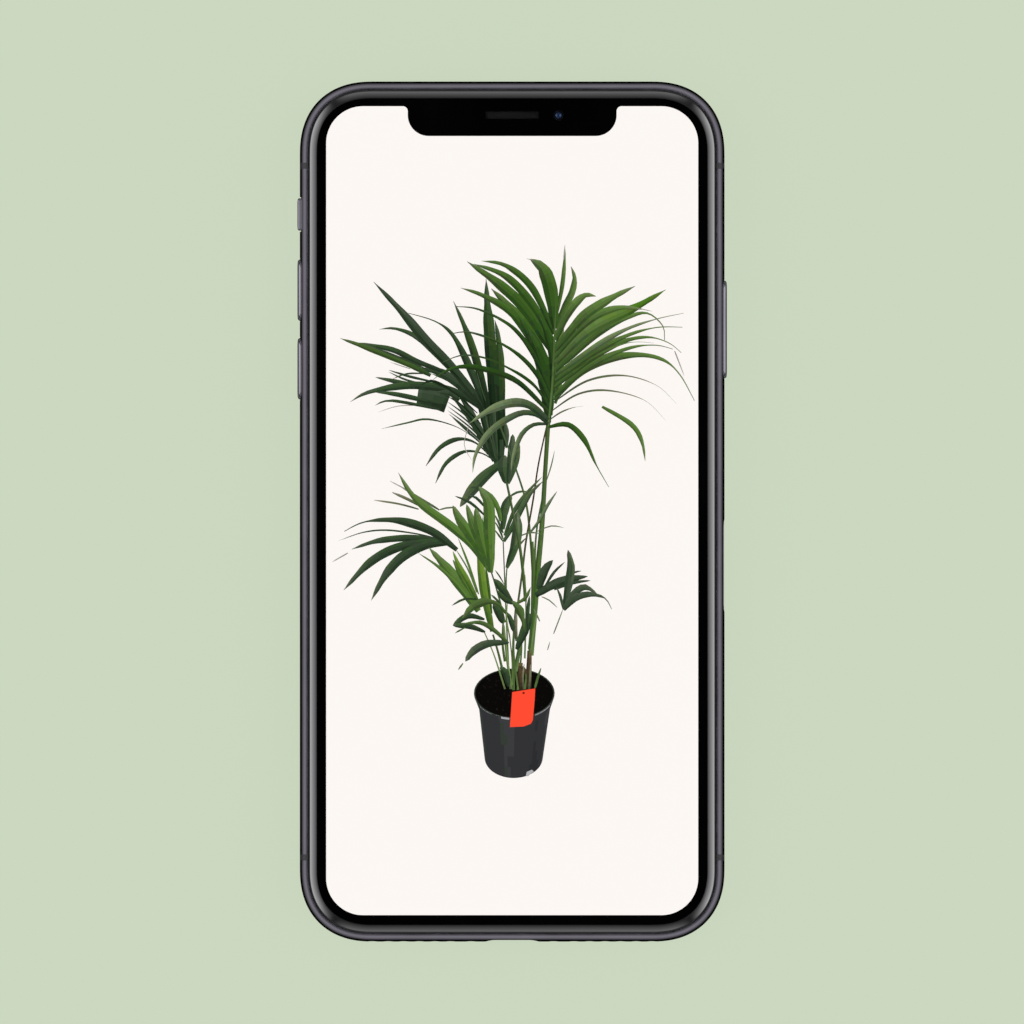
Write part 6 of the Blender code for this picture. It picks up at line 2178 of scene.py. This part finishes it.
@dataclass
class Studio:
    """Floor, light and camera."""

    body: Silhouette
    view_width: float = 170.97 * MM
    view_centre: Point2 = (-0.03 * MM, -0.07 * MM)
    lens: float = 800.0
    sensor: float = 36.0
    floor_colour: Colour = shade(204, 216, 192)
    floor_glow: float = 0.93
    floor_radius: float = 3.0
    end_light: float = 0.3
    levels: tuple[Point2, ...] = (
        (-90, 0.0), (-50, 0.0), (-40, 0.16), (-30, 0.48), (-20, 0.68), (-11, 0.7), (-3, 0.33), (4, 0.17),
        (14, 0.3), (24, 1.6), (31, 2.5), (40, 2.3), (57, 1.85), (66, 1.75), (74, 1.4), (83, 1.3), (87, 0.0),
    )

    def build(self) -> None:
        """Sets up the stage round the phone."""
        self._floor()
        self._sky()
        self._camera()
        bpy.context.scene.view_settings.view_transform = "Standard"

    def _floor(self) -> None:
        """A pale floor that the phone rests on by its camera ring and its bottom edge."""
        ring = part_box("rear_camera_ring")[0]
        foot = -self.body.half_length + self.body.edge_depth
        slope = self.body.back / (ring.y - foot)
        circle = arc((0.0, 0.0), self.floor_radius, 0, 360, 64)[:-1]
        points = [(x, y, (ring.y - y) * slope - 0.02 * MM) for x, y in circle]
        mesh = bpy.data.meshes.new("floor")
        mesh.from_pydata(points, [], [list(range(len(points)))])
        floor = bpy.data.objects.new("floor", mesh)
        bpy.context.scene.collection.objects.link(floor)
        material = bpy.data.materials.new("floor_paper")
        material.use_nodes = True
        Graph(material.node_tree).surface(
            Base_Color=rgba(tuple((1 - self.floor_glow) * part for part in self.floor_colour)),
            Roughness=1.0,
            Specular_IOR_Level=0.0,
            Emission_Color=rgba(self.floor_colour),
            Emission_Strength=self.floor_glow,
        )
        mesh.materials.append(material)
        floor.visible_glossy = False
        floor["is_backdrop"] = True

    def _sky(self) -> None:
        """Soft light all round: bright at the sides, darker at both ends, dark straight above."""
        world = bpy.data.worlds.new("studio")
        world.use_nodes = True
        bpy.context.scene.world = world
        graph = Graph(world.node_tree)
        way = graph.node("ShaderNodeTexCoord", output="Generated")
        x, y, z = (graph.node("ShaderNodeSeparateXYZ", inputs={0: way}, output=name) for name in "XYZ")
        turn = graph.node("ShaderNodeMath", {"operation": "ARCSINE"}, {0: z}) * (1 / math.pi) + 0.5
        peak = max(level for _, level in self.levels)
        stops = [((degrees + 90) / 180, (level / peak,) * 3) for degrees, level in self.levels]
        ramp = graph.node("ShaderNodeValToRGB", {"stops": stops}, {0: turn})
        sideways = x * x * (x * x + y * y + 1e-6) ** -1.0
        walls = sideways.between(0.35, 0.8) + (1.0 - sideways).between(0.72, 0.93) * self.end_light + 0.04
        dome = z.between(0.0, 0.3)
        strength = (walls * dome + (1.0 - dome)) * peak
        light = graph.node("ShaderNodeBackground", None, {"Color": ramp, "Strength": strength})
        graph.node("ShaderNodeOutputWorld", None, {"Surface": light})

    def _camera(self) -> None:
        """A long lens straight above the face, framed as the photograph is."""
        data = bpy.data.cameras.new("camera")
        data.lens, data.sensor_width = self.lens, self.sensor
        distance = self.lens / self.sensor * self.view_width
        data.clip_start, data.clip_end = 0.01, 100.0
        camera = bpy.data.objects.new("camera", data)
        camera.location = (*self.view_centre, self.body.middle + distance)
        bpy.context.scene.collection.objects.link(camera)
        bpy.context.scene.camera = camera


def save_sizes() -> None:
    """Gathers the CAD box and the visual model's box into a table that is not kept."""
    boxes = {"cad": CAD_BOX, "visual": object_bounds()}
    {name: [list(corner) for corner in box] for name, box in boxes.items()}


def main() -> None:
    """Builds the phone from the outside in, then the stage."""
    logging.basicConfig(level=logging.INFO, format="%(message)s")
    body = Silhouette.from_frame()
    band = Band(body)
    SideKeys(band).build()
    CardTray(band).build()
    BottomEdge(band).build()
    band.build()
    front = Front(FaceGlass(body))
    front.build()
    Screen(front).build()
    Back(FaceGlass(body)).build()
    Insides().build()
    Studio(body).build()
    save_sizes()


if __name__ == "__main__":
    main()
